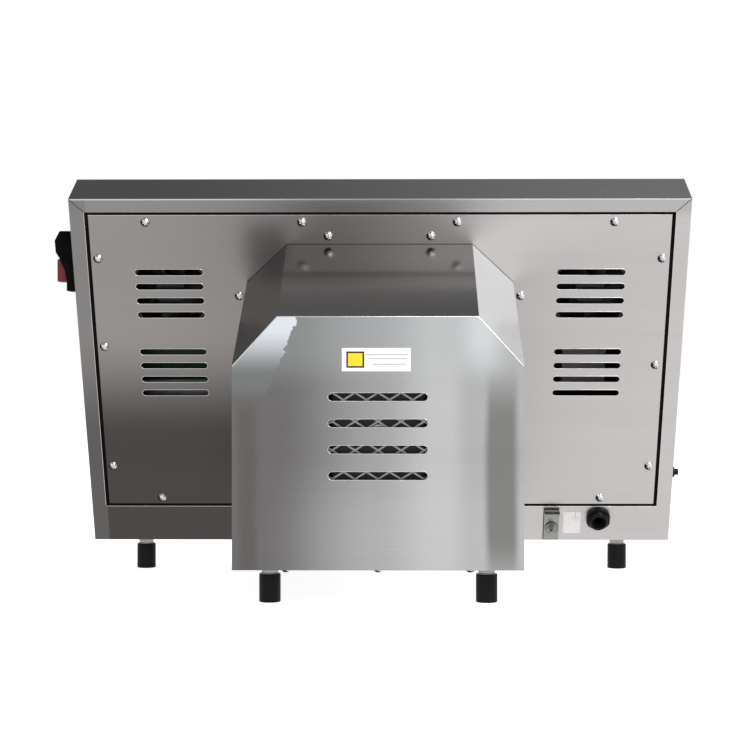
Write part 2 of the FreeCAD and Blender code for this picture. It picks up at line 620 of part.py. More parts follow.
def switch_block(x, near, top, out, wide, tall, margin="0"):
    """A block on the side wall, by its distances from the wall and from the switch's rear and top."""
    wall = spot(BENCH, "body_width / 2", "switch_rear_y", "switch_top_z")
    return box(wall, x, f"-({near}) - ({wide}) - {margin}", f"-({top}) - ({tall}) - {margin}", out,
               f"{wide} + 2 * {margin}", f"{tall} + 2 * {margin}")


def switch_middle(x, out):
    """The part of the switch that goes through the wall, and its hole."""
    return switch_block(x, "(switch_width - switch_body_width) / 2",
                        "(switch_length - switch_body_length) / 2", out, "switch_body_width",
                        "switch_body_length")


def make_switch():
    """The on-off switch, upright on the side wall: green button in a raised guard, red button below."""
    outer = body("housing", spot(BENCH, "body_width / 2", "switch_rear_y", "switch_top_z"))
    side = sketch(outer, "XZ_Plane")
    outline(side, ("0", "0"), ("guard_lip", "0"), ("guard_height", "-guard_length * 0.36"),
            ("guard_height - 1.1", "-guard_length * 0.8"), ("guard_lip + 0.5", "-guard_length"),
            ("switch_base + 2", "-slope_middle"), ("switch_base", "-slope_end"),
            ("switch_base", "-switch_length"), ("0", "-switch_length"))
    pad(outer, side, "switch_width")
    inside = switch_middle("-switch_body_depth", "switch_body_depth")
    seats = [switch_block(f"{name}_seat", f"{name}_near", f"{name}_top", "switch_body_depth",
                          f"{name}_width", f"{name}_length", "press_clearance") for name in ("start", "stop")]
    node("switch_housing", cut(join(outer, inside), *seats))
    for name in ("start", "stop"):
        rise = f"{name}_height - {name}_base"
        node(f"{name}_button", switch_block(f"{name}_base", f"{name}_near", f"{name}_top", rise,
                                            f"{name}_width", f"{name}_length"))


def make_reset():
    """The thermal cut-out's reset button in a tapered collar on the other side wall."""
    wall = "-body_width / 2"
    outward = Rotation(Vector(0, 1, 0), -90)
    at = ("-body_depth / 2", "-reset_s")
    collar = cone(SLAB, wall, at[0], at[1], "reset_collar", "reset_tip", "reset_out", outward)
    stem = rod(SLAB, f"{wall} + reset_inside", at[0], at[1], "reset_stem", "reset_inside", outward)
    bore = rod(SLAB, f"{wall} + reset_bore", at[0], at[1], "reset_pin + press_clearance", "2 * reset_bore",
               outward)
    node("reset_collar", cut(join(collar, stem), bore))
    length = "reset_base + reset_reach"
    node("reset_button", rod(SLAB, f"{wall} + reset_base", at[0], at[1], "reset_pin", length, outward))


def cavity_box(grow, back, floor_grow):
    """A box round the cavity, grown sideways, at the back and above and below."""
    return box(BENCH, f"-cavity_width / 2 - ({grow})", "-cavity_reach", f"cavity_bottom - ({floor_grow})",
               f"cavity_width + 2 * ({grow})", f"cavity_reach + cavity_rear + {back}",
               f"cavity_height + 2 * ({floor_grow})")


def tube_places():
    return [f"tube_first_y + {i} * tube_pitch" for i in range(4)]


def heater_rods(diameter="tube_diameter", half_length="tube_end"):
    """A rod across the cavity at each heater tube's place."""
    return [rod(BENCH, f"-({half_length})", y, "tube_z", diameter, f"2 * ({half_length})", ALONG_X)
            for y in tube_places()]


def shaft_hole(clearance):
    return through(BENCH, 0, "cavity_rear", "fan_axis_z", f"shaft_diameter + {clearance}", ALONG_Y)


def probe():
    return rod(BENCH, "probe_tip", "probe_y", "probe_z", "probe_diameter", "probe_length", ALONG_X)


def make_cavity():
    """The oven proper: liner, wool and jacket, one inside the other, cut to the front slope."""
    shell = cut(cavity_box("liner_sheet", "liner_sheet", "liner_sheet"), front_space("body_depth"))
    outer = "liner_sheet + wool + jacket_sheet"
    rim = cut(cavity_box(outer, "0", outer), front_space("body_depth"),
              rear_space("-body_depth + liner_sheet"))
    node("cavity_liner", cut(join(shell, rim), cavity_box("0", "0", "0"), shaft_hole("shaft_clearance"),
                             probe(), *heater_rods()))
    wool = "liner_sheet + wool"
    front = "body_depth - liner_sheet"
    caps = heater_rods("cap_diameter", "cavity_width / 2 + liner_sheet + cap_length")
    packed = cut(cavity_box(wool, wool, wool), cavity_box("liner_sheet", "liner_sheet", "liner_sheet"))
    node("insulation", cut(packed, front_space(front), shaft_hole("2 * shaft_clearance"), probe(), *caps))
    jacket = cut(cavity_box(outer, outer, outer), cavity_box(wool, wool, wool))
    node("oven_jacket", cut(jacket, front_space(front), shaft_hole("2 * shaft_clearance"), probe()))


def make_heaters():
    """Quartz tubes in ceramic caps under a bright reflector, and the probe beside them."""
    node("heater_tubes", group(*heater_rods()))
    caps = []
    for y in tube_places():
        for start in ("-cavity_width / 2 - liner_sheet - cap_length", "cavity_width / 2 + liner_sheet"):
            caps.append(rod(BENCH, start, y, "tube_z", "cap_diameter", "cap_length", ALONG_X))
    node("heater_caps", cut(group(*caps), *heater_rods()))
    node("reflector", box(BENCH, "-cavity_width / 2", "reflector_front",
                          "cavity_bottom + cavity_height - reflector_drop", "cavity_width",
                          "baffle_y - reflector_front", "reflector_sheet"))
    node("thermocouple", probe())


def make_baffle():
    """The plate in front of the fan: a ring of inlet holes in the middle, outlet slots at the sides."""
    plate = box(BENCH, "-cavity_width / 2", "baffle_y", "cavity_bottom", "cavity_width", "liner_sheet",
                "cavity_height - reflector_drop")
    holes = []
    for ring, number in ((0, 1), (12, 6), (24, 12)):
        for i in range(number):
            angle = 2 * math.pi * i / number
            z = f"fan_axis_z + {ring * math.sin(angle):.4f}"
            holes.append(through(BENCH, ring * math.cos(angle), "baffle_y", z, "baffle_hole", ALONG_Y))
    for side in (-1, 1):
        for row in range(7):
            x = f"{side} * baffle_slot_x - baffle_slot_width / 2"
            z = f"cavity_bottom + baffle_slot_z + {row} * baffle_slot_pitch"
            holes.append(box(BENCH, x, "baffle_y - liner_sheet", z, "baffle_slot_width", "3 * liner_sheet",
                             "baffle_slot_height"))
    node("fan_baffle", cut(plate, *holes))


def blade_wheel(blades, hub_radius, tip_radius, low, high, thickness, twist):
    """A wheel of flat blades round the Z axis, each turned about its own radius."""
    made = []
    root = hub_radius - thickness
    height = (high - low) / math.cos(math.radians(twist))
    for i in range(blades):
        blade = Part.makeBox(tip_radius - root, thickness, height)
        blade.translate(Vector(root, -thickness / 2, -height / 2))
        blade.rotate(Vector(0, 0, 0), Vector(1, 0, 0), twist)
        blade.translate(Vector(0, 0, (low + high) / 2))
        blade.rotate(Vector(0, 0, 0), Vector(0, 0, 1), 360 * i / blades)
        made.append(blade)
    envelope = Part.makeCylinder(tip_radius, high - low, Vector(0, 0, low))
    return [blade.common(envelope) for blade in made]


def make_impeller():
    """The convection wheel: a back plate with straight blades and a hub on the motor's shaft."""
    radius = value("impeller_diameter") / 2
    depth = value("impeller_depth")
    sheet_depth = value("impeller_plate")
    blade = value("impeller_blade")
    hub_radius = value("impeller_hub") / 2
    plate = Part.makeCylinder(radius, sheet_depth, Vector(0, 0, depth - sheet_depth))
    hub = Part.makeCylinder(hub_radius, depth)
    blades = blade_wheel(12, 2 * hub_radius, radius, blade / 2, depth - sheet_depth / 2, blade, 0)
    wheel = hub.fuse([plate] + blades).cut(Part.makeCylinder(value("shaft_diameter") / 2, depth))
    frame = spot(BENCH, 0, "shaft_front", "fan_axis_z", ALONG_Y)
    node("impeller", ready_made(wheel.removeSplitter(), frame))


def make_motor():
    """A shaded-pole motor on two brackets; its shaft reaches through the cavity's wall."""
    axis = "fan_axis_z"
    shaft = rod(BENCH, 0, "shaft_front", axis, "shaft_diameter", "shaft_rear - shaft_front", ALONG_Y)
    core = rod(BENCH, 0, "stator_front", axis, "rotor_diameter", "stator_length", ALONG_Y)
    node("motor_shaft", join(shaft, core))
    half = "stator_size / 2"
    block = box(BENCH, f"-{half}", "stator_front", f"fan_axis_z - {half}", "stator_size", "stator_length",
                "stator_size")
    posts = []
    for x in (-1, 1):
        for z in (-1, 1):
            posts.append(rod(BENCH, f"{x} * ({half} - stator_post_inset)", "bracket_front + bracket_sheet",
                             f"{axis} + {z} * ({half} - stator_post_inset)", "stator_post",
                             "bracket_rear - bracket_front - bracket_sheet", ALONG_Y))
    bore = through(BENCH, 0, "stator_front + stator_length / 2", axis, "stator_bore", ALONG_Y)
    node("motor_stator", cut(join(block, *posts), bore))
    brackets = []
    bearings = []
    for y in ("bracket_front", "bracket_rear"):
        plate = box(BENCH, "-bracket_width / 2", y, "floor_height + sheet", "bracket_width", "bracket_sheet",
                    "bracket_top - floor_height - sheet")
        foot = box(BENCH, "-bracket_width / 2", y, "floor_height + sheet", "bracket_width", "bracket_foot",
                   "bracket_sheet")
        seat = through(BENCH, 0, y, axis, "bearing_diameter", ALONG_Y)
        brackets.append(cut(join(plate, foot), seat))
        race = rod(BENCH, 0, f"{y} - bearing_proud", axis, "bearing_diameter", "bearing_width", ALONG_Y)
        bearings.append(cut(race, through(BENCH, 0, y, axis, "shaft_diameter + bearing_play", ALONG_Y)))
    node("motor_brackets", group(*brackets))
    node("motor_bearings", group(*bearings))


def make_motor_guard():
    """A diamond mesh in a frame, standing between the motor and the hood's vents."""
    width = value("guard_width")
    rise = value("guard_rise")
    bar = value("guard_bar")
    edge = value("guard_frame")
    floor = value("floor_height + sheet - fan_axis_z")
    window = Part.makeBox(width - 2 * edge, 2 * bar, rise - 2 * edge,
                          Vector(edge - width / 2, -bar / 2, edge - rise / 2))
    frame = Part.makeBox(width, bar, rise, Vector(-width / 2, 0, -rise / 2)).cut(window)
    bars = []
    for side in (-1, 1):
        for i in range(-9, 10):
            strip = Part.makeBox(bar, bar, 2 * width, Vector(-bar / 2, 0, -width))
            strip.rotate(Vector(0, 0, 0), Vector(0, 1, 0), side * value("guard_angle"))
            strip.translate(Vector(i * value("guard_pitch"), 0, 0))
            bars.append(strip.common(window))
    legs = [Part.makeBox(2 * edge, bar, -rise / 2 - floor, Vector(x, 0, floor))
            for x in (-width / 2, width / 2 - 2 * edge)]
    mesh = frame.fuse([strip for strip in bars if strip.Volume > bar ** 3] + legs)
    node("motor_guard", ready_made(mesh, spot(BENCH, 0, "guard_y", "fan_axis_z")))


def make_oven_supports():
    """Two channels across the floor that carry the oven."""
    supports = []
    rise = "cavity_bottom - liner_sheet - wool - jacket_sheet - floor_height - sheet"
    for y in (-78, 50):
        block = box(BENCH, "-support_length / 2", y, "floor_height + sheet", "support_length",
                    "support_width", rise)
        hollow = box(BENCH, "-support_length / 2", f"{y} + sheet", "floor_height + 2 * sheet",
                     "support_length", "support_width", f"{rise} - 2 * sheet")
        supports.append(cut(block, hollow, front_space("0")))
    node("oven_supports", group(*supports))


def make_cooling_fans():
    """One axial fan behind the upper vents of each wing: a square frame and a bladed rotor."""
    frames = []
    for side, name in ((-1, "right"), (1, "left")):
        x = f"{side} * vent_x"
        near = "-sheet - fan_depth"
        shell = box(SLAB, f"{x} - fan_size / 2", near, "-fan_s - fan_size / 2", "fan_size", "fan_depth",
                    "fan_size")
        well = through(SLAB, x, near, "-fan_s", "fan_bore", ALONG_Y)
        struts = [box(SLAB, f"{x} - {wide} / 2", near, f"-fan_s - {tall} / 2", wide, "fan_strut_depth", tall)
                  for wide, tall in (("(fan_size - 2)", "fan_strut"), ("fan_strut", "(fan_size - 2)"))]
        motor = rod(SLAB, x, near, "-fan_s", "fan_hub", "fan_strut_depth", ALONG_Y)
        boss = rod(SLAB, x, near, "-fan_s", "fan_boss", "fan_boss_length", ALONG_Y)
        frames.append(join(cut(shell, well), *struts, motor, boss))
        hub_radius = value("fan_hub / 2")
        depth = value("fan_rotor_depth")
        blades = blade_wheel(7, hub_radius, value("fan_bore / 2 - 1"), 2, depth - 1, value("fan_blade"), 50)
        bore = Part.makeCylinder(value("fan_boss / 2") + 0.05, value("fan_boss_length") - 2, Vector(0, 0, -1))
        rotor = Part.makeCylinder(hub_radius, depth).fuse(blades).cut(bore)
        place = spot(SLAB, x, f"{near} + fan_rotor_gap", "-fan_s", ALONG_Y)
        node(f"fan_rotor_{name}", ready_made(rotor.removeSplitter(), place))
    node("fan_frames", group(*frames))


def make_electronics():
    back = "-body_depth + sheet"
    node("power_supply", box(SLAB, "supply_x", back, "-supply_s - supply_height", "supply_length",
                             "supply_depth", "supply_height"))
    node("solid_state_relay", box(SLAB, "relay_x", back, "-relay_s - relay_height", "relay_width",
                                  "relay_depth", "relay_height"))
    block = box(SLAB, "block_x", back, "-block_s - block_height", "block_width", "block_depth",
                "block_height")
    wells = [box(SLAB, f"block_x + 5 + {i} * well_pitch", f"{back} + block_depth - well_depth",
                 "-block_s - block_height + well_margin", "well_width", "2 * well_depth",
                 "block_height - 2 * well_margin") for i in range(5)]
    node("terminal_block", cut(block, *wells))
    node("control_board", box(SLAB, "board_x", f"{back} + board_gap", "-board_s - board_height",
                              "board_width", "board_sheet", "board_height"))


def make_controls():
    """The control panel: display, four keys and the turning knob on its encoder."""
    face = "-body_depth"
    bezel = box(SLAB, "control_x - bezel_width / 2", f"{face} - bezel_proud", "-display_s - bezel_height / 2",
                "bezel_width", "bezel_proud", "bezel_height")
    window = box(SLAB, "control_x - screen_width / 2", f"{face} - 2 * bezel_proud",
                 "-display_s - screen_height / 2", "screen_width", "4 * bezel_proud", "screen_height")
    node("display_bezel", cut(bezel, window))
    depth = "board_gap + sheet + screen_proud"
    node("display_screen", box(SLAB, "control_x - screen_width / 2", f"{face} - screen_proud",
                               "-display_s - screen_height / 2", "screen_width", depth, "screen_height"))
    for i in range(4):
        node(f"key_{i + 1}", key_block(i, "0", f"{face} - key_proud", "key_depth"))
    gap = "board_gap"
    size = "encoder_size"
    case = box(SLAB, f"control_x - {size} / 2", f"{face} + sheet", f"-knob_s - {size} / 2", size, gap, size)
    low = f"{face} - knob_gap"
    bore = rod(SLAB, "control_x", low, "-knob_s", "knob_shaft + bearing_play",
               "knob_shaft_length + sheet / 2", ALONG_Y)
    node("encoder_body", cut(case, bore))
    grip = rod(SLAB, "control_x", f"{low} - knob_height", "-knob_s", "knob_diameter", "knob_height", ALONG_Y)
    shaft = rod(SLAB, "control_x", f"{low} - 1", "-knob_s", "knob_shaft", "knob_shaft_length", ALONG_Y)
    node("control_knob", join(grip, shaft))


def slab_sheet(width, top, bottom, low, thick):
    """A flat block on the slab's middle line, between two depths and two distances down the slope."""
    return box(SLAB, f"-({width}) / 2", low, f"-({bottom})", width, thick, f"({bottom}) - ({top})")


def make_drawer():
    """The drawer: sloping front with a window, seal, bar handle, tray, wire rack and side slides."""
    low = "-drawer_back - drawer_thick"
    front = slab_sheet("drawer_width", "drawer_top", "drawer_bottom", low, "drawer_thick")
    window = slab_sheet("window_width", "window_top", "window_bottom", -SPAN / 2, SPAN)
    pane = ("window_width + 2 * glass_lap", "window_top - glass_lap", "window_bottom + glass_lap")
    recess = slab_sheet(*pane, "-drawer_back - drawer_thick / 2", "drawer_thick")
    node("drawer_front", cut(front, window, recess))
    node("drawer_glass", slab_sheet(*pane, "-drawer_back - drawer_thick / 2", "glass_thick"))
    seal = slab_sheet("seal_width", "seal_top", "seal_bottom", "-drawer_back",
                      "drawer_back - body_depth - seal_gap")
    hole = slab_sheet("seal_width - 2 * seal_band", "seal_top + seal_band", "seal_bottom - seal_band",
                      -SPAN / 2, SPAN)
    node("drawer_seal", cut(seal, hole))
    bar_y = "-drawer_back - drawer_thick - handle_stand"
    node("handle_bar", rod(SLAB, "-handle_length / 2", bar_y, "-handle_s", "handle_diameter", "handle_length",
                           ALONG_X))
    posts = []
    for side in (-1, 1):
        post = rod(SLAB, f"{side} * post_spread / 2", bar_y, "-handle_s", "post_diameter", "handle_stand",
                   ALONG_Y)
        bar = rod(SLAB, "-handle_length / 2", bar_y, "-handle_s", "handle_diameter", "handle_length",
                  ALONG_X)
        posts.append(cut(post, bar))
    node("handle_posts", group(*posts))
    outer = box(BENCH, "-tray_width / 2", "-cavity_reach", "tray_bottom", "tray_width",
                "cavity_reach + tray_rear", "tray_height")
    inner = box(BENCH, "-tray_width / 2 + tray_band", "-cavity_reach", "tray_bottom - tray_height",
                "tray_width - 2 * tray_band", "cavity_reach + tray_rear - tray_band", "3 * tray_height")
    node("drawer_tray", cut(outer, inner, front_space("drawer_back")))
    low_z = "tray_bottom + tray_height + rack_wire / 2"
    wires = []
    for i in range(9):
        x = f"-rack_width / 2 + rack_wire / 2 + {i} * (rack_width - rack_wire) / 8"
        wires.append(rod(BENCH, x, "rack_front", low_z, "rack_wire", "rack_rear - rack_front", ALONG_Y))
    for i in range(4):
        y = f"rack_front + 4 + {i} * (rack_rear - rack_front - 8) / 3"
        wires.append(rod(BENCH, "-rack_width / 2", y, f"{low_z} + 1.6", "rack_wire", "rack_width", ALONG_X))
    node("wire_rack", join(*wires))
    rails = []
    bars = []
    jacket = "cavity_width / 2 + liner_sheet + wool + jacket_sheet"
    for side in (-1, 1):
        wall = f"({jacket})" if side > 0 else f"(-({jacket}) - slide_thick)"
        length = "slide_rear - slide_front"
        rail = box(BENCH, wall, "slide_front", "slide_z", "slide_thick", length, "slide_height")
        middle = f"{wall} + slide_sheet" if side > 0 else f"{wall} - 1"
        groove = box(BENCH, middle, "slide_front", "slide_z + slide_lip", "slide_thick - slide_sheet + 1",
                     length, "slide_height - 2 * slide_lip")
        rails.append(cut(rail, groove, front_space("body_depth")))
        inset = "slide_sheet + slide_play"
        strip = f"{wall} + {inset}" if side > 0 else f"{wall} + slide_thick - ({inset}) - slide_bar"
        bar = box(BENCH, strip, "-cavity_reach", "slide_z + slide_lip + seal_gap", "slide_bar",
                  "cavity_reach + slide_bar_rear", "slide_height - 2 * (slide_lip + seal_gap)")
        bars.append(cut(bar, front_space("drawer_back")))
    node("slide_rails", group(*rails))
    node("slide_bars", group(*bars))


make_body_shell()
make_base_plate()
make_hood_floor()
make_panel_ledge()
make_rear_panel()
make_rear_hood()
make_front_fascia()
make_screws()
make_feet()
make_gland()
make_earth_terminal()
make_labels()
make_switch()
make_reset()
make_cavity()
make_heaters()
make_baffle()
make_impeller()
make_motor()
make_motor_guard()
make_oven_supports()
make_cooling_fans()
make_electronics()
make_controls()
make_drawer()

doc.recompute()
for item in doc.Objects:
    if "Invalid" in item.State or "Error" in item.State:
        sys.exit(f"{item.Name} ({item.Label}) failed: {item.State}")
for item in NODES:
    if item.Shape.isNull() or not item.Shape.isValid():
        sys.exit(f"{item.Label}: its shape is not valid")

os.makedirs("parts", exist_ok=True)
for item in NODES:
    item.Shape.exportStep(f"parts/{item.Label}.step")
    print(f"{item.Label}: {len(item.Shape.Solids)} solids, {item.Shape.Volume / 1000:.2f} cm3")
print(len(NODES), "sub-parts")
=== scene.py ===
import json
import math

import bmesh
import bpy
from mathutils import Matrix, Vector


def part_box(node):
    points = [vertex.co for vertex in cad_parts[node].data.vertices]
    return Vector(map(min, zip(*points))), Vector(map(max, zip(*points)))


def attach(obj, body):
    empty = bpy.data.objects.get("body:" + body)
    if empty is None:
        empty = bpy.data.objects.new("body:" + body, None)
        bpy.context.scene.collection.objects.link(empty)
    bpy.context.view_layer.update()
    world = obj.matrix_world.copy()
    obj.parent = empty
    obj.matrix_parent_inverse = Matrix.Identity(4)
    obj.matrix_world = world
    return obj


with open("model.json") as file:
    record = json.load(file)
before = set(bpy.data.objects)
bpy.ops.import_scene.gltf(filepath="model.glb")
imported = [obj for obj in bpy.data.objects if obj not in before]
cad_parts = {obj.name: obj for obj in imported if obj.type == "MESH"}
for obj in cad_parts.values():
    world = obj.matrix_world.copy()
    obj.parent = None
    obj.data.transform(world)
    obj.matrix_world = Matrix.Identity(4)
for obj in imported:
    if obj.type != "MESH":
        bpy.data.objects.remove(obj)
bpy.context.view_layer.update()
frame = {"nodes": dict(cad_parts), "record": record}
NODES = frame["nodes"]

# ---------------------------------------------------------------- places taken from the frame

MM = 0.001
LEAN = math.radians(25)
SLAB_DEPTH = 57
shell_low, shell_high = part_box("body_shell")
hood_low, hood_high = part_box("rear_hood")
MIDDLE_X = (shell_low.x + shell_high.x) / 2
REAR_EDGE = Vector((MIDDLE_X, shell_high.y, shell_high.z - SLAB_DEPTH * MM * math.sin(LEAN)))
SLOPE_UP = Vector((0, math.sin(LEAN), math.cos(LEAN)))
SLAB = Matrix.Translation(REAR_EDGE) @ Matrix.Rotation(-LEAN, 4, "X")


def on_slab(x, out, down):
    """A point by its distance across, out of the rear face and down its slope, in millimetres."""
    return SLAB @ Vector((x * MM, out * MM, -down * MM))


# ---------------------------------------------------------------- node helpers for materials


class Shader:
    """A material's node tree with short ways to add and join nodes."""

    def __init__(self, name):
        self.material = bpy.data.materials.new(name)
        self.material.use_nodes = True
        self.tree = self.material.node_tree
        self.surface = self.tree.nodes["Principled BSDF"]

    def add(self, kind, **settings):
        item = self.tree.nodes.new(kind)
        for key, setting in settings.items():
            setattr(item, key, setting)
        return item

    def join(self, source, target):
        self.tree.links.new(source, target)

    def place(self, scale=(1, 1, 1)):
        """Object coordinates, which are the frame's own metres, stretched by a scale."""
        where = self.add("ShaderNodeTexCoord")
        mapping = self.add("ShaderNodeMapping")
        mapping.inputs["Scale"].default_value = scale
        self.join(where.outputs["Object"], mapping.inputs["Vector"])
        return mapping.outputs["Vector"]

    def noise(self, where, scale=1.0, detail=3.0, rough=0.5):
        item = self.add("ShaderNodeTexNoise")
        item.inputs["Scale"].default_value = scale
        item.inputs["Detail"].default_value = detail
        item.inputs["Roughness"].default_value = rough
        self.join(where, item.inputs["Vector"])
        return item.outputs["Fac"]

    def ramp(self, value, *stops):
        """A colour ramp; each stop is a place and a colour or a grey."""
        item = self.add("ShaderNodeValToRGB")
        ramp = item.color_ramp
        while len(ramp.elements) < len(stops):
            ramp.elements.new(0.5)
        for element, (place, colour) in zip(ramp.elements, stops):
            element.position = place
            grey = isinstance(colour, (int, float))
            element.color = (colour, colour, colour, 1) if grey else (*colour, 1)
        self.join(value, item.inputs["Fac"])
        return item.outputs["Color"]

    def span(self, value, low, high, to_low=0.0, to_high=1.0):
        item = self.add("ShaderNodeMapRange")
        for key, amount in zip(("From Min", "From Max", "To Min", "To Max"), (low, high, to_low, to_high)):
            item.inputs[key].default_value = amount
        self.join(value, item.inputs["Value"])
        return item.outputs["Result"]

    def maths(self, operation, first, second):
        item = self.add("ShaderNodeMath", operation=operation)
        for slot, given in zip(item.inputs, (first, second)):
            if isinstance(given, (int, float)):
                slot.default_value = given
            else:
                self.join(given, slot)
        return item.outputs["Value"]

    def blend(self, amount, first, second, kind="MIX"):
        item = self.add("ShaderNodeMix", data_type="RGBA", blend_type=kind)
        for slot, given in ((item.inputs[0], amount), (item.inputs[6], first), (item.inputs[7], second)):
            if isinstance(given, (int, float)):
                slot.default_value = given
            elif isinstance(given, tuple):
                slot.default_value = (*given, 1)
            else:
                self.join(given, slot)
        return item.outputs[2]

    def where(self):
        """The point's own X, Y and Z in the frame, in metres."""
        parts = self.add("ShaderNodeSeparateXYZ")
        self.join(self.add("ShaderNodeTexCoord").outputs["Object"], parts.inputs["Vector"])
        return parts.outputs["X"], parts.outputs["Y"], parts.outputs["Z"]

    def step(self, value, start, end):
        """A smooth step from 0 at start to 1 at end; start may be the larger."""
        item = self.add("ShaderNodeMapRange", interpolation_type="SMOOTHSTEP")
        low, high = min(start, end), max(start, end)
        item.inputs["From Min"].default_value = low
        item.inputs["From Max"].default_value = high
        item.inputs["To Min"].default_value = 0.0 if start < end else 1.0
        item.inputs["To Max"].default_value = 1.0 if start < end else 0.0
        self.join(value, item.inputs["Value"])
        return item.outputs["Result"]

    def patch(self, across, height, wide, tall):
        """A soft-edged area: each of wide and tall is low, high and the softness of its edges."""
        mask = None
        for value, (low, high, soft) in ((across, wide), (height, tall)):
            for edge, other in ((low, low + soft), (high, high - soft)):
                side = self.step(value, edge, other)
                mask = side if mask is None else self.maths("MULTIPLY", mask, side)
        return mask

    def tint(self, tone, mask, amount, colour):
        """Mix a colour into a tone where the mask is, up to an amount."""
        return self.blend(self.maths("MULTIPLY", mask, amount), tone, colour)

    def bump(self, height, strength, distance):
        item = self.add("ShaderNodeBump")
        item.inputs["Strength"].default_value = strength
        item.inputs["Distance"].default_value = distance
        self.join(height, item.inputs["Height"])
        self.join(item.outputs["Normal"], self.surface.inputs["Normal"])


def facing(shader):
    """The surface's own direction, as three numbers."""
    parts = shader.add("ShaderNodeSeparateXYZ")
    shader.join(shader.add("ShaderNodeNewGeometry").outputs["Normal"], parts.inputs["Vector"])
    return parts.outputs["X"], parts.outputs["Y"], parts.outputs["Z"]


def grain_direction(shader):
    """The brushed grain runs across the machine, and along the slope on its side walls."""
    sideways = shader.maths("ABSOLUTE", facing(shader)[0], 0)
    on_side = shader.maths("GREATER_THAN", sideways, 0.8)
    return shader.blend(on_side, (1, 0, 0), tuple(SLOPE_UP)), on_side


def brushed_steel(name, colour, rough=0.3, grain=0.03, anisotropy=0.75, shade=None):
    """Brushed stainless sheet: fine lines along the grain in its colour, gloss and relief."""
    shader = Shader(name)
    tangent, on_side = grain_direction(shader)
    across = shader.noise(shader.place(scale=(6, 900, 900)), detail=4, rough=0.6)
    upright = shader.noise(shader.place(scale=(900, 12, 12)), detail=4, rough=0.6)
    lines = shader.blend(on_side, across, upright)
    broad = shader.noise(shader.place(scale=(1.5, 60, 60)), detail=2)
    cloud = shader.noise(shader.place(scale=(5, 5, 5)), detail=2)
    tone = shader.span(lines, 0.3, 0.7, 1 - grain, 1 + grain)
    tone = shader.maths("MULTIPLY", tone, shader.span(broad, 0.3, 0.7, 0.985, 1.015))
    tone = shader.maths("MULTIPLY", tone, shader.span(cloud, 0.3, 0.7, 0.97, 1.03))
    base = colour if shade is None else shade(shader)
    shader.join(shader.blend(1.0, base, tone, "MULTIPLY"), shader.surface.inputs["Base Color"])
    gloss = shader.span(lines, 0.25, 0.75, rough - 0.05, rough + 0.05)
    shader.join(gloss, shader.surface.inputs["Roughness"])
    shader.surface.inputs["Metallic"].default_value = 1.0
    shader.surface.inputs["Anisotropic"].default_value = anisotropy
    shader.join(tangent, shader.surface.inputs["Tangent"])
    shader.bump(lines, 0.06, 0.00005)
    return shader.material


def plated(name, colour, rough=0.16, mottle=60):
    """Bright plated or turned metal with a slight unevenness."""
    shader = Shader(name)
    spots = shader.noise(shader.place(), scale=mottle * 10, detail=3)
    shader.join(shader.ramp(spots, (0.3, tuple(c * 0.88 for c in colour)), (0.7, colour)),
                shader.surface.inputs["Base Color"])
    shader.join(shader.span(spots, 0.2, 0.8, rough - 0.05, rough + 0.08), shader.surface.inputs["Roughness"])
    shader.surface.inputs["Metallic"].default_value = 1.0
    shader.bump(spots, 0.08, 0.0001)
    return shader.material


def moulded(name, colour, rough=0.45, relief=0.12, coat=0.0, shine=0.3):
    """Moulded plastic or rubber with a fine spark-eroded texture."""
    shader = Shader(name)
    fine = shader.noise(shader.place(), scale=900, detail=4, rough=0.6)
    broad = shader.noise(shader.place(), scale=40, detail=2)
    light = tuple(min(1, c * 1.25 + 0.004) for c in colour)
    shader.join(shader.ramp(broad, (0.3, colour), (0.75, light)), shader.surface.inputs["Base Color"])
    shader.join(shader.span(fine, 0.2, 0.8, rough - 0.07, rough + 0.1), shader.surface.inputs["Roughness"])
    shader.surface.inputs["Coat Weight"].default_value = coat
    shader.surface.inputs["Specular IOR Level"].default_value = shine
    shader.bump(fine, relief, 0.0002)
    return shader.material


def woven(name, colour, pitch=0.0018):
    """A woven or felted fibre surface."""
    shader = Shader(name)
    where = shader.place()
    first = shader.add("ShaderNodeTexWave", wave_type="BANDS", bands_direction="DIAGONAL")
    first.inputs["Scale"].default_value = 0.3 / pitch
    first.inputs["Distortion"].default_value = 2.0
    shader.join(where, first.inputs["Vector"])
    fluff = shader.noise(where, scale=700, detail=5)
    dark = tuple(c * 0.7 for c in colour)
    tone = shader.ramp(first.outputs["Fac"], (0.0, dark), (0.8, colour))
    shader.join(tone, shader.surface.inputs["Base Color"])
    shader.surface.inputs["Roughness"].default_value = 0.95
    shader.bump(shader.maths("ADD", first.outputs["Fac"], fluff), 0.5, 0.0004)
    return shader.material


def clear(name, colour, rough):
    """Glass with a faint unevenness in its polish."""
    shader = Shader(name)
    wave = shader.noise(shader.place(), scale=25, detail=1)
    shader.join(shader.ramp(wave, (0.2, tuple(c * 0.94 for c in colour)), (0.8, colour)),
                shader.surface.inputs["Base Color"])
    shader.join(shader.span(wave, 0.2, 0.8, rough, rough + 0.03), shader.surface.inputs["Roughness"])
    shader.surface.inputs["Transmission Weight"].default_value = 1.0
    shader.surface.inputs["IOR"].default_value = 1.46
    return shader.material


def board_green(name):
    """Solder mask with faint copper tracks under it."""
    shader = Shader(name)
    tracks = shader.add("ShaderNodeTexBrick")
    tracks.inputs["Scale"].default_value = 140
    # dark green solder mask, deepened further as painted shade for its place deep inside the casing
    tracks.inputs["Color1"].default_value = (0.005, 0.042, 0.016, 1)
    tracks.inputs["Color2"].default_value = (0.006, 0.052, 0.02, 1)
    tracks.inputs["Mortar"].default_value = (0.016, 0.085, 0.035, 1)
    shader.join(shader.place(), tracks.inputs["Vector"])
    shader.join(tracks.outputs["Color"], shader.surface.inputs["Base Color"])
    shader.surface.inputs["Roughness"].default_value = 0.35
    shader.bump(tracks.outputs["Fac"], 0.2, 0.0001)
    return shader.material


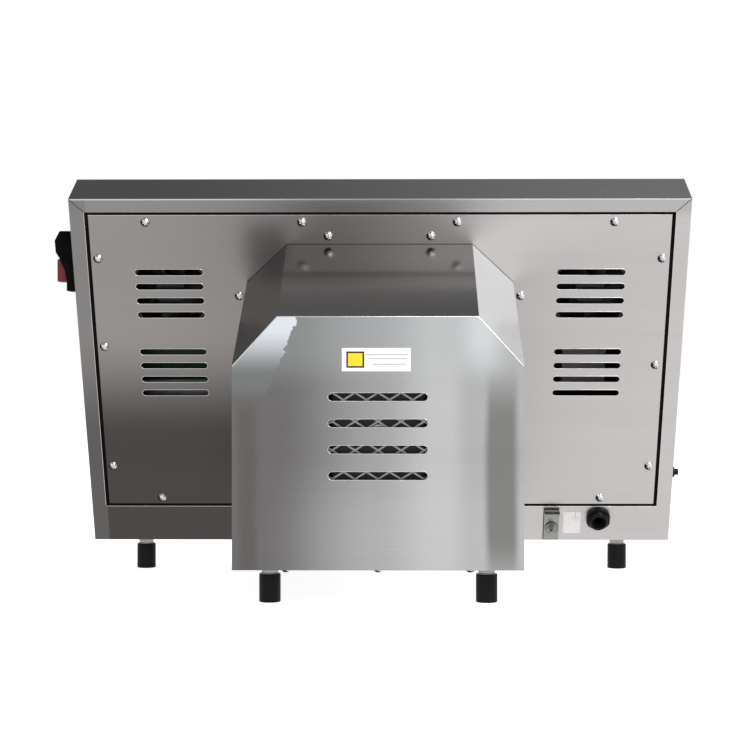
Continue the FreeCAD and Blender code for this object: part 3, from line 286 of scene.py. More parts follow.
def rear_painted_tone(shader):
    """Satin sheet of the panel and its frame, its reflections painted into its colour: paler towards the
    gland's side, with painted shade and a painted highlight along the top edge.
    """
    x, _, z = shader.where()
    _, back, up = facing(shader)
    # painted reflection: away from the gland the sheet darkens towards the bottom, where it mirrors the
    # floor's shade
    far_side_painted = shader.blend(shader.step(z, 0.14, 0.25), (0.088, 0.081, 0.078), (0.33, 0.315, 0.307))
    # painted reflection: paler towards the gland's side
    tone = shader.blend(shader.step(x, 0.06, -0.09), far_side_painted, (0.605, 0.585, 0.577))
    # painted shade beside the hood's shoulder
    shoulder = shader.patch(x, z, (0.070, 0.140, 0.030), (0.292, 0.366, 0.030))
    tone = shader.tint(tone, shoulder, 0.6, (0.09, 0.085, 0.085))
    # painted shade: the upper flange a little darker
    flange = shader.step(z, 0.356, 0.366)
    tone = shader.tint(tone, flange, 0.22, (0.16, 0.157, 0.155))
    # painted shade: the frame's side strip away from the gland darker
    edge = shader.step(x, 0.2795, 0.2805)
    tone = shader.tint(tone, edge, 0.55, (0.2, 0.195, 0.19))
    # painted highlight: a bright line along the top edge
    ridge = shader.step(shader.maths("ABSOLUTE", shader.maths("SUBTRACT", z, REAR_EDGE.z), 0), 0.0016, 0.0006)
    tone = shader.tint(tone, ridge, 0.75, (0.85, 0.85, 0.85))
    # painted reflection on the top face: darker away from the gland, paler towards it
    top = shader.blend(shader.step(x, 0.25, -0.32), (0.155, 0.152, 0.15), (0.49, 0.485, 0.48))
    tone = shader.blend(shader.step(up, 0.80, 0.86), tone, top)
    # painted shade: faces turned inwards near black
    inside = shader.step(back, -0.3, -0.5)
    return shader.blend(inside, tone, (0.03, 0.03, 0.03))


def hood_painted_tone(shader):
    """Smoother sheet of the hood, its reflections painted into its colour: darker by its left edge, pale at
    the right, with soft upright bands, painted highlights on its bends and painted shade on its dark side and
    inner faces.
    """
    x, _, z = shader.where()
    across, back, up = facing(shader)
    # painted reflections: soft upright bands, their edges swaying a little
    wave = shader.noise(shader.place(scale=(30, 30, 9)), detail=2)
    sway = shader.maths("ADD", x, shader.span(wave, 0.3, 0.7, -0.0015, 0.0015))
    tone = shader.blend(shader.step(sway, 0.085, -0.02), (0.165, 0.16, 0.158), (0.38, 0.38, 0.385))
    tone = shader.blend(shader.step(sway, -0.005, -0.06), tone, (0.565, 0.565, 0.57))
    tone = shader.blend(shader.step(sway, -0.068, -0.09), tone, (0.47, 0.47, 0.475))
    # painted reflection: paler towards the bottom, away from the left edge
    low = shader.maths("MULTIPLY", shader.step(z, 0.15, 0.06), shader.step(x, 0.11, 0.01))
    tone = shader.tint(tone, low, 0.27, (0.68, 0.675, 0.67))
    # painted reflection: a cool pale tint towards the top
    high = shader.step(z, 0.185, 0.235)
    tone = shader.tint(tone, high, 0.25, (0.56, 0.60, 0.61))
    # painted reflections: a darker upright band near each side
    left_band = shader.patch(sway, z, (0.0975, 0.1245, 0.011), (0.0, 0.195, 0.03))
    tone = shader.tint(tone, left_band, 0.5, (0.11, 0.10, 0.096))
    right_band = shader.patch(sway, z, (-0.1345, -0.099, 0.009), (0.0, 0.225, 0.06))
    tone = shader.tint(tone, right_band, 0.85, (0.195, 0.20, 0.185))
    # painted reflection: a bright patch in an upper corner, with a ragged slanting edge
    ragged = shader.span(shader.noise(shader.place(), scale=170, detail=5), 0.3, 0.7, -0.0025, 0.0025)
    corner = shader.maths("ADD", shader.maths("ADD", x, ragged), shader.maths("MULTIPLY", z, 0.40))
    pale = shader.blend(shader.step(z, 0.205, 0.25), (0.20, 0.212, 0.205), (0.84, 0.88, 0.94))
    bright = shader.maths("MULTIPLY", shader.step(corner, 0.1690, 0.1700), shader.step(z, 0.182, 0.20))
    tone = shader.tint(tone, bright, 0.92, pale)
    # painted highlight: a pale patch high on the right
    painted_highlight = shader.patch(x, z, (-0.13, -0.068, 0.03), (0.19, 0.30, 0.05))
    tone = shader.tint(tone, painted_highlight, 0.6, (0.85, 0.88, 0.89))
    # painted reflection on the sloping top: paler to the right and darker at its lower end
    slope = shader.blend(shader.step(x, 0.03, -0.09), (0.275, 0.265, 0.258), (0.30, 0.295, 0.29))
    slope = shader.blend(shader.step(z, 0.29, 0.262), slope, (0.225, 0.215, 0.21))
    tone = shader.blend(shader.step(up, 0.80, 0.86), tone, slope)
    # painted highlight: white along the bends between the face and the top
    bend = shader.maths("MULTIPLY", shader.step(up, 0.12, 0.25), shader.step(up, 0.84, 0.74))
    bend = shader.maths("MULTIPLY", bend, shader.step(back, 0.35, 0.45))
    tone = shader.tint(tone, bend, 0.95, (1, 1, 1))
    # painted shade: the slanted side away from the gland is dark, and the upright side walls a flat grey
    sideways = shader.maths("ABSOLUTE", across, 0)
    shoulder = shader.step(sideways, 0.94, 0.88)
    dark_side = shader.maths("MULTIPLY", shader.step(across, 0.5, 0.6), shoulder)
    tone = shader.blend(dark_side, tone, (0.075, 0.071, 0.07))
    tone = shader.blend(shader.step(sideways, 0.88, 0.94), tone, (0.42, 0.415, 0.41))
    # painted light: the slanted side towards the gland near white, made less metallic so it reads as lit
    pale_side = shader.maths("MULTIPLY", shader.step(across, -0.5, -0.6), shader.step(x, 0, -0.02))
    pale_side = shader.maths("MULTIPLY", pale_side, shoulder)
    tone = shader.blend(pale_side, tone, (0.95, 0.955, 0.97))
    shader.join(shader.span(pale_side, 0, 1, 1, 0.62), shader.surface.inputs["Metallic"])
    # painted shade: faces turned inwards, backwards or down near black
    inward = shader.step(shader.maths("MULTIPLY", across, x), -0.01, -0.03)
    hidden = shader.maths("MAXIMUM", inward, shader.step(back, -0.3, -0.5))
    hidden = shader.maths("MAXIMUM", hidden, shader.step(up, -0.3, -0.5))
    return shader.blend(hidden, tone, (0.02, 0.02, 0.02))


def printed_label(name):
    """White film with a generic print: a yellow block in a black border, and plain bars for its lines."""
    shader = Shader(name)
    x, y, z = shader.where()
    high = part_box("labels")[1]
    fibre = shader.noise(shader.place(), scale=500, detail=2)
    ink = shader.ramp(fibre, (0.3, (0.80, 0.80, 0.81)), (0.7, (0.84, 0.84, 0.85)))
    on_hood = shader.step(y, high.y - 0.01, high.y - 0.009)
    black, yellow, grey = (0.01, 0.01, 0.01), (0.85, 0.62, 0.02), (0.42, 0.42, 0.43)
    prints = ((12, 10.45, 16.2, 14.8, black), (12, 10.45, 13.2, 11.8, yellow),
              (40.5, 6.0, 38, 1.1, grey), (41.5, 9.6, 34, 1.1, grey), (42.5, 14.6, 30, 1.1, grey))
    soft = 0.00018
    for across, down, wide, tall, colour in prints:
        middle, height = high.x - across * MM, high.z - down * MM
        area = shader.patch(x, z, (middle - wide / 2 * MM, middle + wide / 2 * MM, soft),
                            (height - tall / 2 * MM, height + tall / 2 * MM, soft))
        ink = shader.blend(shader.maths("MULTIPLY", area, on_hood), ink, colour)
    small = shader.step(x, -0.19, -0.1902)
    ink = shader.blend(small, ink, (0.66, 0.65, 0.645))
    slab = shader.maths("MULTIPLY", shader.step(z, 0.3, 0.2), small)
    for wide, tall, across, down in ((1.4, 15, -208.5, 61.5), (8, 1.2, -208.5, 55), (4.4, 1.0, -208.5, 52.6)):
        area = shader.patch(x, z, ((across - wide / 2) * MM, (across + wide / 2) * MM, 0.0003),
                            ((down - tall / 2) * MM, (down + tall / 2) * MM, 0.0003))
        ink = shader.blend(shader.maths("MULTIPLY", area, slab), ink, (0.46, 0.455, 0.45))
    shader.join(ink, shader.surface.inputs["Base Color"])
    shader.surface.inputs["Roughness"].default_value = 0.42
    shader.surface.inputs["Specular IOR Level"].default_value = 0.3
    shader.bump(fibre, 0.02, 0.0001)
    return shader.material


def bright_head(name):
    """A plated dome head with a painted highlight on the side turned up and to the gland's side, and painted
    shade on the other.
    """
    shader = Shader(name)
    across, back, up = facing(shader)
    rise = shader.maths("ADD", shader.maths("MULTIPLY", up, math.cos(LEAN)),
                        shader.maths("MULTIPLY", back, math.sin(LEAN)))
    lit_side = shader.maths("SUBTRACT", rise, across)
    smudge = shader.noise(shader.place(), scale=420, detail=3)
    # painted highlight and painted shade, set by which way the head's surface faces
    tone = shader.blend(shader.step(lit_side, -0.16, 0.06), (0.03, 0.03, 0.03), (0.86, 0.855, 0.85))
    shader.join(tone, shader.surface.inputs["Base Color"])
    shader.join(shader.span(smudge, 0.2, 0.8, 0.1, 0.2), shader.surface.inputs["Roughness"])
    shader.surface.inputs["Metallic"].default_value = 1.0
    shader.bump(smudge, 0.15, 0.0001)
    return shader.material


def lit(name, colour):
    """A display's lit segments: their own faint unevenness under the window."""
    shader = Shader(name)
    cells = shader.noise(shader.place(), scale=900, detail=1)
    shader.join(shader.ramp(cells, (0.3, tuple(c * 0.8 for c in colour)), (0.7, colour)),
                shader.surface.inputs["Emission Color"])
    shader.surface.inputs["Base Color"].default_value = (*colour, 1)
    shader.surface.inputs["Emission Strength"].default_value = 1.4
    shader.surface.inputs["Roughness"].default_value = 0.4
    return shader.material


MATERIALS = {
    "steel_frame": brushed_steel("steel_frame", None, shade=rear_painted_tone),
    "steel_panel": brushed_steel("steel_panel", None, shade=rear_painted_tone, rough=0.34),
    "steel_hood": brushed_steel("steel_hood", None, rough=0.2, grain=0.02, shade=hood_painted_tone),
    "steel_front": brushed_steel("steel_front", (0.52, 0.51, 0.50)),
    # painted shade: the inner steel is near black, standing in for the shade inside the casing
    "steel_inner": brushed_steel("steel_inner", (0.07, 0.072, 0.074), rough=0.4, anisotropy=0.3),
    "liner_steel": brushed_steel("liner_steel", (0.40, 0.385, 0.36), rough=0.35, anisotropy=0.4),
    "mirror_steel": plated("mirror_steel", (0.8, 0.79, 0.76), rough=0.08, mottle=4),
    "screw": bright_head("screw"),
    "zinc": plated("zinc", (0.36, 0.355, 0.345), rough=0.2),
    "handle_steel": plated("handle_steel", (0.62, 0.61, 0.60), rough=0.2),
    "rack_wire": plated("rack_wire", (0.64, 0.63, 0.62), rough=0.18),
    "lamination": moulded("lamination", (0.03, 0.03, 0.033), rough=0.5),
    "guard_mesh": plated("guard_mesh", (0.42, 0.42, 0.425), rough=0.35),
    "aluminium_case": plated("aluminium_case", (0.5, 0.51, 0.52), rough=0.35),
    "ceramic_wool": woven("ceramic_wool", (0.75, 0.73, 0.68), pitch=0.004),
    "seal_cord": woven("seal_cord", (0.68, 0.66, 0.61)),
    "ceramic": moulded("ceramic", (0.72, 0.69, 0.62), rough=0.7),
    "quartz": clear("quartz", (0.95, 0.95, 0.93), rough=0.06),
    "oven_glass": clear("oven_glass", (0.30, 0.29, 0.27), rough=0.02),
    "display_glass": moulded("display_glass", (0.006, 0.01, 0.012), rough=0.12, relief=0.01, coat=1.0),
    "black_plastic": moulded("black_plastic", (0.003, 0.003, 0.003), rough=0.38, shine=0.16),
    "switch_black": moulded("switch_black", (0.0015, 0.0015, 0.0015), rough=0.5, shine=0.04),
    "fan_plastic": moulded("fan_plastic", (0.008, 0.008, 0.009), rough=0.4),
    "relay_plastic": moulded("relay_plastic", (0.16, 0.158, 0.15), rough=0.5),
    "key_plastic": moulded("key_plastic", (0.03, 0.033, 0.036), rough=0.5),
    "knob_black": moulded("knob_black", (0.012, 0.012, 0.013), rough=0.4),
    "red_plastic": moulded("red_plastic", (0.135, 0.03, 0.029), rough=0.45, relief=0.04, shine=0.1),
    "green_plastic": moulded("green_plastic", (0.02, 0.2, 0.05), rough=0.35, relief=0.04),
    "circuit_board": board_green("circuit_board"),
    "black_rubber": moulded("black_rubber", (0.002, 0.002, 0.002), rough=0.7, shine=0.03),
    "foot_rubber": moulded("foot_rubber", (0.003, 0.003, 0.003), rough=0.4, shine=0.12),
    "label": printed_label("label"),
}


def dress(node_object, slot_name):
    """Give a CAD node its material in place of the imported one."""
    node_object.data.materials.clear()
    node_object.data.materials.append(MATERIALS[slot_name])


for entry in frame["record"]["subparts"]:
    dress(NODES[entry["node"]], entry["material_slot"])

# ---------------------------------------------------------------- softened edges of the CAD parts

EDGE_RADII_MM = {
    "body_shell": 0.9, "rear_hood": 0.9, "rear_panel": 0.35, "front_fascia": 0.4, "base_plate": 0.4,
    "hood_floor": 0.4, "switch_housing": 1.6, "stop_button": 1.4, "start_button": 1.2,
    "drawer_front": 1.2, "earth_bracket": 0.5, "display_bezel": 0.7, "key_1": 0.8, "key_2": 0.8,
    "key_3": 0.8, "key_4": 0.8, "control_knob": 1.2, "gland_body": 0.6, "gland_nut": 0.8,
    "foot_rubbers": 0.9, "foot_fasteners": 0.3, "handle_bar": 1.0, "drawer_tray": 0.5,
    "power_supply": 0.8, "solid_state_relay": 1.0, "reset_collar": 0.4, "reset_button": 0.6,
}


def soften(node_name, radius_mm):
    """Join a node's split corners and round its sharp edges, without touching its own vertices."""
    item = NODES[node_name]
    weld = item.modifiers.new("weld", "WELD")
    weld.merge_threshold = 0.00001
    flats = item.modifiers.new("flats", "DECIMATE")
    flats.decimate_type = "DISSOLVE"
    flats.angle_limit = math.radians(0.3)
    bevel = item.modifiers.new("edges", "BEVEL")
    bevel.width = radius_mm * MM
    bevel.segments = 2
    bevel.limit_method = "ANGLE"
    bevel.angle_limit = math.radians(32)
    even = item.modifiers.new("shading", "WEIGHTED_NORMAL")
    even.weight = 80
    even.keep_sharp = False


for name, radius in EDGE_RADII_MM.items():
    soften(name, radius)

# ---------------------------------------------------------------- helpers for detail pieces

# painted highlight: a pale metal for thin wires that stand in for the glints along edges
EDGE_HIGHLIGHT = plated("painted_edge_highlight", (0.9, 0.9, 0.9), rough=0.3, mottle=30)
# for dark seams, the printed ticks and pointer, and the painted shade lines round the earth bracket
DARK_LINE_AND_SHADE = moulded("dark_line_and_shade", (0.01, 0.01, 0.01), rough=0.6)
FILTER_FOAM = woven("filter_foam", (0.012, 0.012, 0.012), pitch=0.003)
SCREEN_CYAN = lit("screen_cyan", (0.12, 0.75, 0.85))
SCREEN_AMBER = lit("screen_amber", (0.95, 0.42, 0.06))
PALE_MARK = moulded("pale_mark", (0.62, 0.62, 0.6), rough=0.5, relief=0.02)


def settle(item, body, slot_name, material):
    """Place a finished piece in the scene, on its body and with its finish."""
    if not item.users_collection:
        bpy.context.scene.collection.objects.link(item)
    item.data.materials.append(material or MATERIALS[slot_name])
    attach(item, body)


def mesh_piece(name, body, slot_name, build, material=None, smooth=False):
    """A piece whose mesh is built by a function of an empty bmesh."""
    shape = bmesh.new()
    build(shape)
    mesh = bpy.data.meshes.new(name)
    shape.to_mesh(mesh)
    shape.free()
    if smooth:
        for face in mesh.polygons:
            face.use_smooth = True
    settle(bpy.data.objects.new(name, mesh), body, slot_name, material)


def wire_piece(name, body, slot_name, strokes, radius_mm, closed=False, material=None, smooth=False):
    """Round wires through lists of points in the frame."""
    data = bpy.data.curves.new(name, "CURVE")
    data.dimensions = "3D"
    data.bevel_depth = radius_mm * MM
    data.bevel_resolution = 2
    data.use_fill_caps = True
    for points in strokes:
        spline = data.splines.new("NURBS" if smooth else "POLY")
        spline.points.add(len(points) - 1)
        for point, at in zip(spline.points, points):
            point.co = (*at, 1)
        spline.use_cyclic_u = closed
        if smooth:
            spline.order_u = 3
            spline.use_endpoint_u = not closed
    settle(bpy.data.objects.new(name, data), body, slot_name, material)


def block(shape, place, centre, size, radius=0.3, turn=0.0):
    """A rounded block; centre and size in millimetres, turned about the place's own Y."""
    where = place @ Matrix.Translation(Vector(centre) * MM) @ Matrix.Rotation(turn, 4, "Y")
    where = where @ Matrix.Diagonal((*(s * MM for s in size), 1))
    made = bmesh.ops.create_cube(shape, size=1, matrix=where)
    edges = {edge for vert in made["verts"] for edge in vert.link_edges}
    bmesh.ops.bevel(shape, geom=list(edges), offset=radius * MM, segments=2, profile=0.5, affect="EDGES")


def barrel(shape, place, centre, low_radius, high_radius, length, sides=24, radius=0.3, turn=0.0):
    """A round or many-sided block along the place's own Y, with its rims rounded."""
    where = place @ Matrix.Translation(Vector(centre) * MM) @ Matrix.Rotation(math.radians(-90), 4, "X")
    where = where @ Matrix.Rotation(turn, 4, "Z")
    made = bmesh.ops.create_cone(shape, cap_ends=True, segments=sides, radius1=low_radius * MM,
                                 radius2=high_radius * MM, depth=length * MM, matrix=where)
    caps = [face for face in {f for v in made["verts"] for f in v.link_faces} if len(face.verts) == sides]
    rims = {edge for face in caps for edge in face.edges}
    bmesh.ops.bevel(shape, geom=list(rims), offset=radius * MM, segments=2, profile=0.5, affect="EDGES")


def ring_points(centre, across, up, wide, tall, steps=8):
    """The outline of a round-ended slot, from its centre and its two directions in the frame."""
    radius = tall / 2
    points = []
    for side in (1, -1):
        for i in range(steps + 1):
            angle = math.pi * (i / steps - 0.5)
            x = side * ((wide - tall) / 2 + radius * math.cos(angle))
            z = side * radius * math.sin(angle)
            points.append(centre + (across * x + up * z) * MM)
    return points


# ---------------------------------------------------------------- rear of the casing

ACROSS = Vector((1, 0, 0))
UP = Vector((0, 0, 1))
CASING_SIDE, OPENING_SIDE, OPENING_TOP = 301.3, 286.8, 13.8
HOOD_SIDE, HOOD_TOP_SIDE, HOOD_TOP = 131, 90.5, 46.9
VENT_X, VENT_LENGTH, VENT_HEIGHT, VENT_PITCH = 207.5, 67, 6.3, 15.2
VENT_STARTS = (76.5, 162.5)
VENT_ROWS = [start + i * VENT_PITCH for start in VENT_STARTS for i in range(4)]
FRONT = -SLAB_DEPTH
EARTH_X, EARTH_DOWN = -178, 363.6


def make_gap_shade():
    """A black strip in the gap between the rear panel and its frame: painted shade that makes the gap read
    dark.
    """
    opening_top, opening_low, panel_top, panel_low = OPENING_TOP, 338.4, 16.4, 336.4
    side, panel_side, hood_side = OPENING_SIDE, 283.2, HOOD_SIDE + 0.2
    deep = -1.0

    def build(shape):
        for x in (-1, 1):
            block(shape, SLAB, (x * (side + panel_side) / 2, deep, -(opening_top + opening_low) / 2),
                  (side - panel_side, 0.9, opening_low - opening_top), 0.2)
            block(shape, SLAB, (x * (side + hood_side) / 2, -0.35, -(opening_low + panel_low + 0.8) / 2),
                  (side - hood_side, 0.9, opening_low - panel_low + 0.8), 0.2)
        block(shape, SLAB, (0, deep, -(opening_top + panel_top) / 2),
              (2 * side, 0.9, panel_top - opening_top), 0.2)

    mesh_piece("panel_gap_shade", "casing", "black_rubber", build)
    # painted highlights: pale wires along the edges of the gap
    rim = 0.3
    edge, low_edge = side + rim, opening_low + 1.3
    glints = [[on_slab(x * edge, 0, opening_top), on_slab(x * edge, 0, opening_low)] for x in (-1, 1)]
    glints += [[on_slab(x * hood_side, 0, low_edge), on_slab(x * side, 0, low_edge)] for x in (-1, 1)]
    glints.append([on_slab(-panel_side, 0, panel_top + rim), on_slab(panel_side, 0, panel_top + rim)])
    wire_piece("panel_glints", "casing", "steel_frame", glints, 0.28, False, EDGE_HIGHLIGHT)


def make_vent_rims():
    """A thin rounded rim round every vent, its pale finish a painted highlight along the edge."""
    length, height = VENT_LENGTH + 0.5, VENT_HEIGHT + 0.5
    rear = [ring_points(on_slab(side * VENT_X, 0, down), ACROSS, SLOPE_UP, length, height)
            for side in (-1, 1) for down in VENT_ROWS]
    wire_piece("rear_vent_rims", "casing", "steel_panel", rear, 0.3, True, EDGE_HIGHLIGHT)
    front = [ring_points(on_slab(-VENT_X, FRONT, down + 20), ACROSS, SLOPE_UP, length, height)
             for down in VENT_ROWS]
    wire_piece("front_vent_rims", "casing", "steel_front", front, 0.3, True, EDGE_HIGHLIGHT)
    face = hood_high.y - 0.15 * MM
    hood = [ring_points(Vector((MIDDLE_X, face, (115.5 + row * 23.57) * MM)), ACROSS, UP, 89.8, 7.7)
            for row in range(4)]
    wire_piece("hood_vent_rims", "casing", "steel_hood", hood, 0.3, True, EDGE_HIGHLIGHT)


def make_seams():
    """Welded mitres at the upper corners of the rear frame, and the joint along the hood's top."""
    wide, tall = CASING_SIDE - OPENING_SIDE, OPENING_TOP
    mitre = math.hypot(wide, tall)
    seam_turn = math.atan2(tall, wide)

    def build(shape):
        for side in (-1, 1):
            middle = (side * (CASING_SIDE - wide / 2), 0.02, -tall / 2)
            block(shape, SLAB, middle, (mitre - 1, 0.16, 0.7), 0.05, -side * seam_turn)

    mesh_piece("frame_seams", "casing", "steel_frame", build, DARK_LINE_AND_SHADE)
    low = HOOD_TOP + 39.7
    corners = ((-HOOD_SIDE, low), (-HOOD_TOP_SIDE, HOOD_TOP), (HOOD_TOP_SIDE, HOOD_TOP), (HOOD_SIDE, low))
    line = [on_slab(x, 0.15, down) for x, down in corners]
    wire_piece("hood_joint", "casing", "steel_hood", [line], 0.35, False, DARK_LINE_AND_SHADE)


def make_bends():
    """Pale wires along the outer corners of the hood's folds: painted highlights where the sheet catches the
    light.
    """
    inset = 0.45 * MM
    face = hood_high.y - inset
    hood = NODES["rear_hood"]
    corners = [hood.matrix_world @ vert.co for vert in hood.data.vertices]
    rear = [corner for corner in corners if corner.y > hood_high.y - 0.2 * MM]
    half_top, half_wide = HOOD_TOP_SIDE * MM, HOOD_SIDE * MM
    top = max(v.z for v in rear)
    shoulder = max(v.z for v in rear if abs(v.x - MIDDLE_X) > half_wide - 1 * MM)
    bend = [Vector((MIDDLE_X + side * (half - inset), face, rise - inset)) for side, half, rise in
            ((-1, half_wide, shoulder), (-1, half_top, top), (1, half_top, top), (1, half_wide, shoulder))]
    wire_piece("hood_bend", "casing", "steel_hood", [bend], 0.6, False, EDGE_HIGHLIGHT)
    rim = [Vector((MIDDLE_X + side * (half_wide - inset), face, hood_low.z + 0.5 * MM)) for side in (-1, 1)]
    edges = [rim, [rim[0], bend[0]], [rim[1], bend[3]]]
    wire_piece("hood_rim", "casing", "steel_hood", edges, 0.42, False, EDGE_HIGHLIGHT)


def make_filters():
    """Black filter foam behind the front vents, quilted in squares."""
    def build(shape):
        for start in VENT_STARTS:
            top, low = start + 8, start + 76
            columns, rows = 48, 34
            grid = []
            for j in range(rows + 1):
                down = top + (low - top) * j / rows
                line = []
                for i in range(columns + 1):
                    x = -VENT_X - 42 + 84 * i / columns
                    swell = 0.8 * abs(math.sin(math.pi * i / 8)) * abs(math.sin(math.pi * j / 8))
                    line.append(shape.verts.new(on_slab(x, FRONT + 3.6 - swell, down)))
                grid.append(line)
            for j in range(rows):
                for i in range(columns):
                    shape.faces.new((grid[j][i], grid[j][i + 1], grid[j + 1][i + 1], grid[j + 1][i]))
            bmesh.ops.solidify(shape, geom=list(shape.faces)[-rows * columns:], thickness=1.0 * MM)

    mesh_piece("front_filters", "casing", "black_rubber", build, FILTER_FOAM, True)


def make_earth_shade_lines():
    """Dark lines beside the earth bracket and round its nut: the bracket's joint, darkened as painted shade,
    and a ring of painted shade round the nut.
    """
    left, right, top, low = EARTH_X + 8.1, EARTH_X - 8.1, 342.2, 378.3
    joint = [on_slab(left, 0.2, low), on_slab(left, 0.2, top), on_slab(right, 0.2, top)]
    wire_piece("earth_joint_shade", "casing", "zinc", [joint], 0.5, False, DARK_LINE_AND_SHADE)
    # painted shade round the nut
    ring = [on_slab(EARTH_X + 6.4 * math.cos(a), 3.0, EARTH_DOWN + 6.4 * math.sin(a))
            for a in (2 * math.pi * i / 30 for i in range(30))]
    wire_piece("earth_ring", "casing", "zinc", [ring], 0.35, True, DARK_LINE_AND_SHADE)


def make_earth_thread():
    """The thread of the earth stud's free end."""
    turns, steps, pitch = 9, 14, 0.8
    points = []
    for i in range(turns * steps + 1):
        angle = 2 * math.pi * i / steps
        x, down = EARTH_X + 2.42 * math.cos(angle), EARTH_DOWN + 2.42 * math.sin(angle)
        points.append(on_slab(x, 7.6 + pitch * i / steps, down))
    wire_piece("earth_thread", "casing", "zinc", [points], 0.14)


make_gap_shade()
make_vent_rims()
make_seams()
make_bends()
make_filters()
make_earth_shade_lines()
make_earth_thread()

# ---------------------------------------------------------------- front of the casing and its controls

PANEL_X = 207


def make_display():
    """A temperature curve, its axes and two level bars on the screen."""
    face = FRONT - 1.04
    middle, half_wide, half_tall = 94, 29, 12

    def at(x, rise):
        return on_slab(PANEL_X + x, face, middle - rise)

    axes = [[at(-half_wide, half_tall), at(-half_wide, -half_tall), at(half_wide - 12, -half_tall)]]
    for i in range(1, 5):
        axes.append([at(-half_wide + 9 * i, -half_tall), at(-half_wide + 9 * i, -half_tall + 1.2)])
        axes.append([at(-half_wide, -half_tall + 5.4 * i), at(-half_wide + 1.2, -half_tall + 5.4 * i)])
    wire_piece("display_axes", "casing", "display_glass", axes, 0.16, False, SCREEN_CYAN)
    profile = [at(x, rise) for x, rise in
               ((-28, -11), (-20, -3), (-14, -1), (-6, 0.5), (-1, 5), (3, 9.5), (6, 9.5), (10, 2), (15, -8))]
    wire_piece("display_curve", "casing", "display_glass", [profile], 0.28, False, SCREEN_AMBER, True)

    def bars(shape):
        for x, tall in ((20, 15), (25, 9)):
            block(shape, SLAB, (PANEL_X + x, face, -middle - half_tall + tall / 2), (3, 0.2, tall), 0.08)

    mesh_piece("display_bars", "casing", "display_glass", bars, SCREEN_CYAN)


def make_key_marks():
    """A raised sign on each key: three arrowheads and a round stop."""
    signs = ((3, math.radians(180)), (3, math.radians(90)), (3, math.radians(-90)), (28, 0))
    for number, (sides, turn) in enumerate(signs):
        centre = (PANEL_X + (number - 1.5) * 26, FRONT - 2.6, -142)

        def build(shape):
            barrel(shape, SLAB, centre, 2.6, 2.6, 0.4, sides, 0.1, turn)

        mesh_piece(f"key_mark_{number + 1}", f"key_{number + 1}", "key_plastic", build, PALE_MARK)


def make_knob_details():
    """Grip ribs round the knob, its cap and pointer; the scale's ticks on the sheet behind."""
    centre_down, radius = 190, 17
    ribs = []
    for i in range(30):
        angle = 2 * math.pi * i / 30
        x = PANEL_X + radius * math.cos(angle)
        down = centre_down + radius * math.sin(angle)
        ribs.append([on_slab(x, FRONT - 2.4, down), on_slab(x, FRONT - 15.6, down)])
    wire_piece("knob_ribs", "knob", "knob_black", ribs, 0.75)

    def cap(shape):
        barrel(shape, SLAB, (PANEL_X, FRONT - 17.2, -centre_down), 14.5, 15.6, 0.8, 48, 0.3)

    mesh_piece("knob_cap", "knob", "knob_black", cap, MATERIALS["handle_steel"])

    def pointer(shape):
        block(shape, SLAB, (PANEL_X, FRONT - 17.7, -centre_down + 9.5), (1.4, 0.5, 8), 0.2)

    mesh_piece("knob_pointer", "knob", "knob_black", pointer, DARK_LINE_AND_SHADE)

    def ticks(shape):
        for i in range(11):
            angle = math.radians(-135 + 27 * i)
            long_one = 3.4 if i % 5 == 0 else 2.2
            reach = 21 + long_one / 2
            x, rise = PANEL_X + reach * math.sin(angle), -centre_down + reach * math.cos(angle)
            block(shape, SLAB, (x, FRONT - 0.03, rise), (0.8, 0.16, long_one), 0.05, angle)

    mesh_piece("dial_ticks", "casing", "steel_front", ticks, DARK_LINE_AND_SHADE)


def make_drawer_details():
    """End caps and post collars of the handle, and the trim round the window."""
    bar_out, bar_down = -108.5, 206
    turn = Matrix.Rotation(math.radians(-90), 4, "Z")

    def caps(shape):
        for side in (-1, 1):
            place = Matrix.Translation(on_slab(side * 95.6, bar_out, bar_down)) @ turn
            low, high = (5.9, 4.6) if side > 0 else (4.6, 5.9)
            barrel(shape, place, (0, 0, 0), low, high, 2.2, 32, 0.5)

    mesh_piece("handle_caps", "drawer", "handle_steel", caps, MATERIALS["black_plastic"])

    def collars(shape):
        for side in (-1, 1):
            barrel(shape, SLAB, (side * 80, -75.6, -bar_down), 7.4, 8.2, 2.2, 32, 0.5)

    mesh_piece("post_collars", "drawer", "handle_steel", collars)
    half_wide, top, low, band = 68, 240, 310, 5

    def trim(shape):
        for side in (-1, 1):
            middle = (side * (half_wide + band / 2 - 0.5), -75, -(top + low) / 2)
            block(shape, SLAB, middle, (band, 1.4, low - top + 2 * band - 1), 0.6)
        for down in (top - band / 2 + 0.5, low + band / 2 - 0.5):
            block(shape, SLAB, (0, -75, -down), (2 * half_wide, 1.4, band), 0.6)

    mesh_piece("window_trim", "drawer", "steel_front", trim, MATERIALS["black_plastic"])


make_display()
make_key_marks()
make_knob_details()
make_drawer_details()

# ---------------------------------------------------------------- stage, light and camera


def flat_sheet(name, half_size, height, material):
    """A level square under the machine, used for the floor and the reflector card."""
    mesh = bpy.data.meshes.new(name)
    shape = bmesh.new()
    bmesh.ops.create_grid(shape, x_segments=1, y_segments=1, size=half_size)
    shape.to_mesh(mesh)
    shape.free()
    item = bpy.data.objects.new(name, mesh)
    item.location.z = height
    bpy.context.scene.collection.objects.link(item)
    item.data.materials.append(material)
    return item


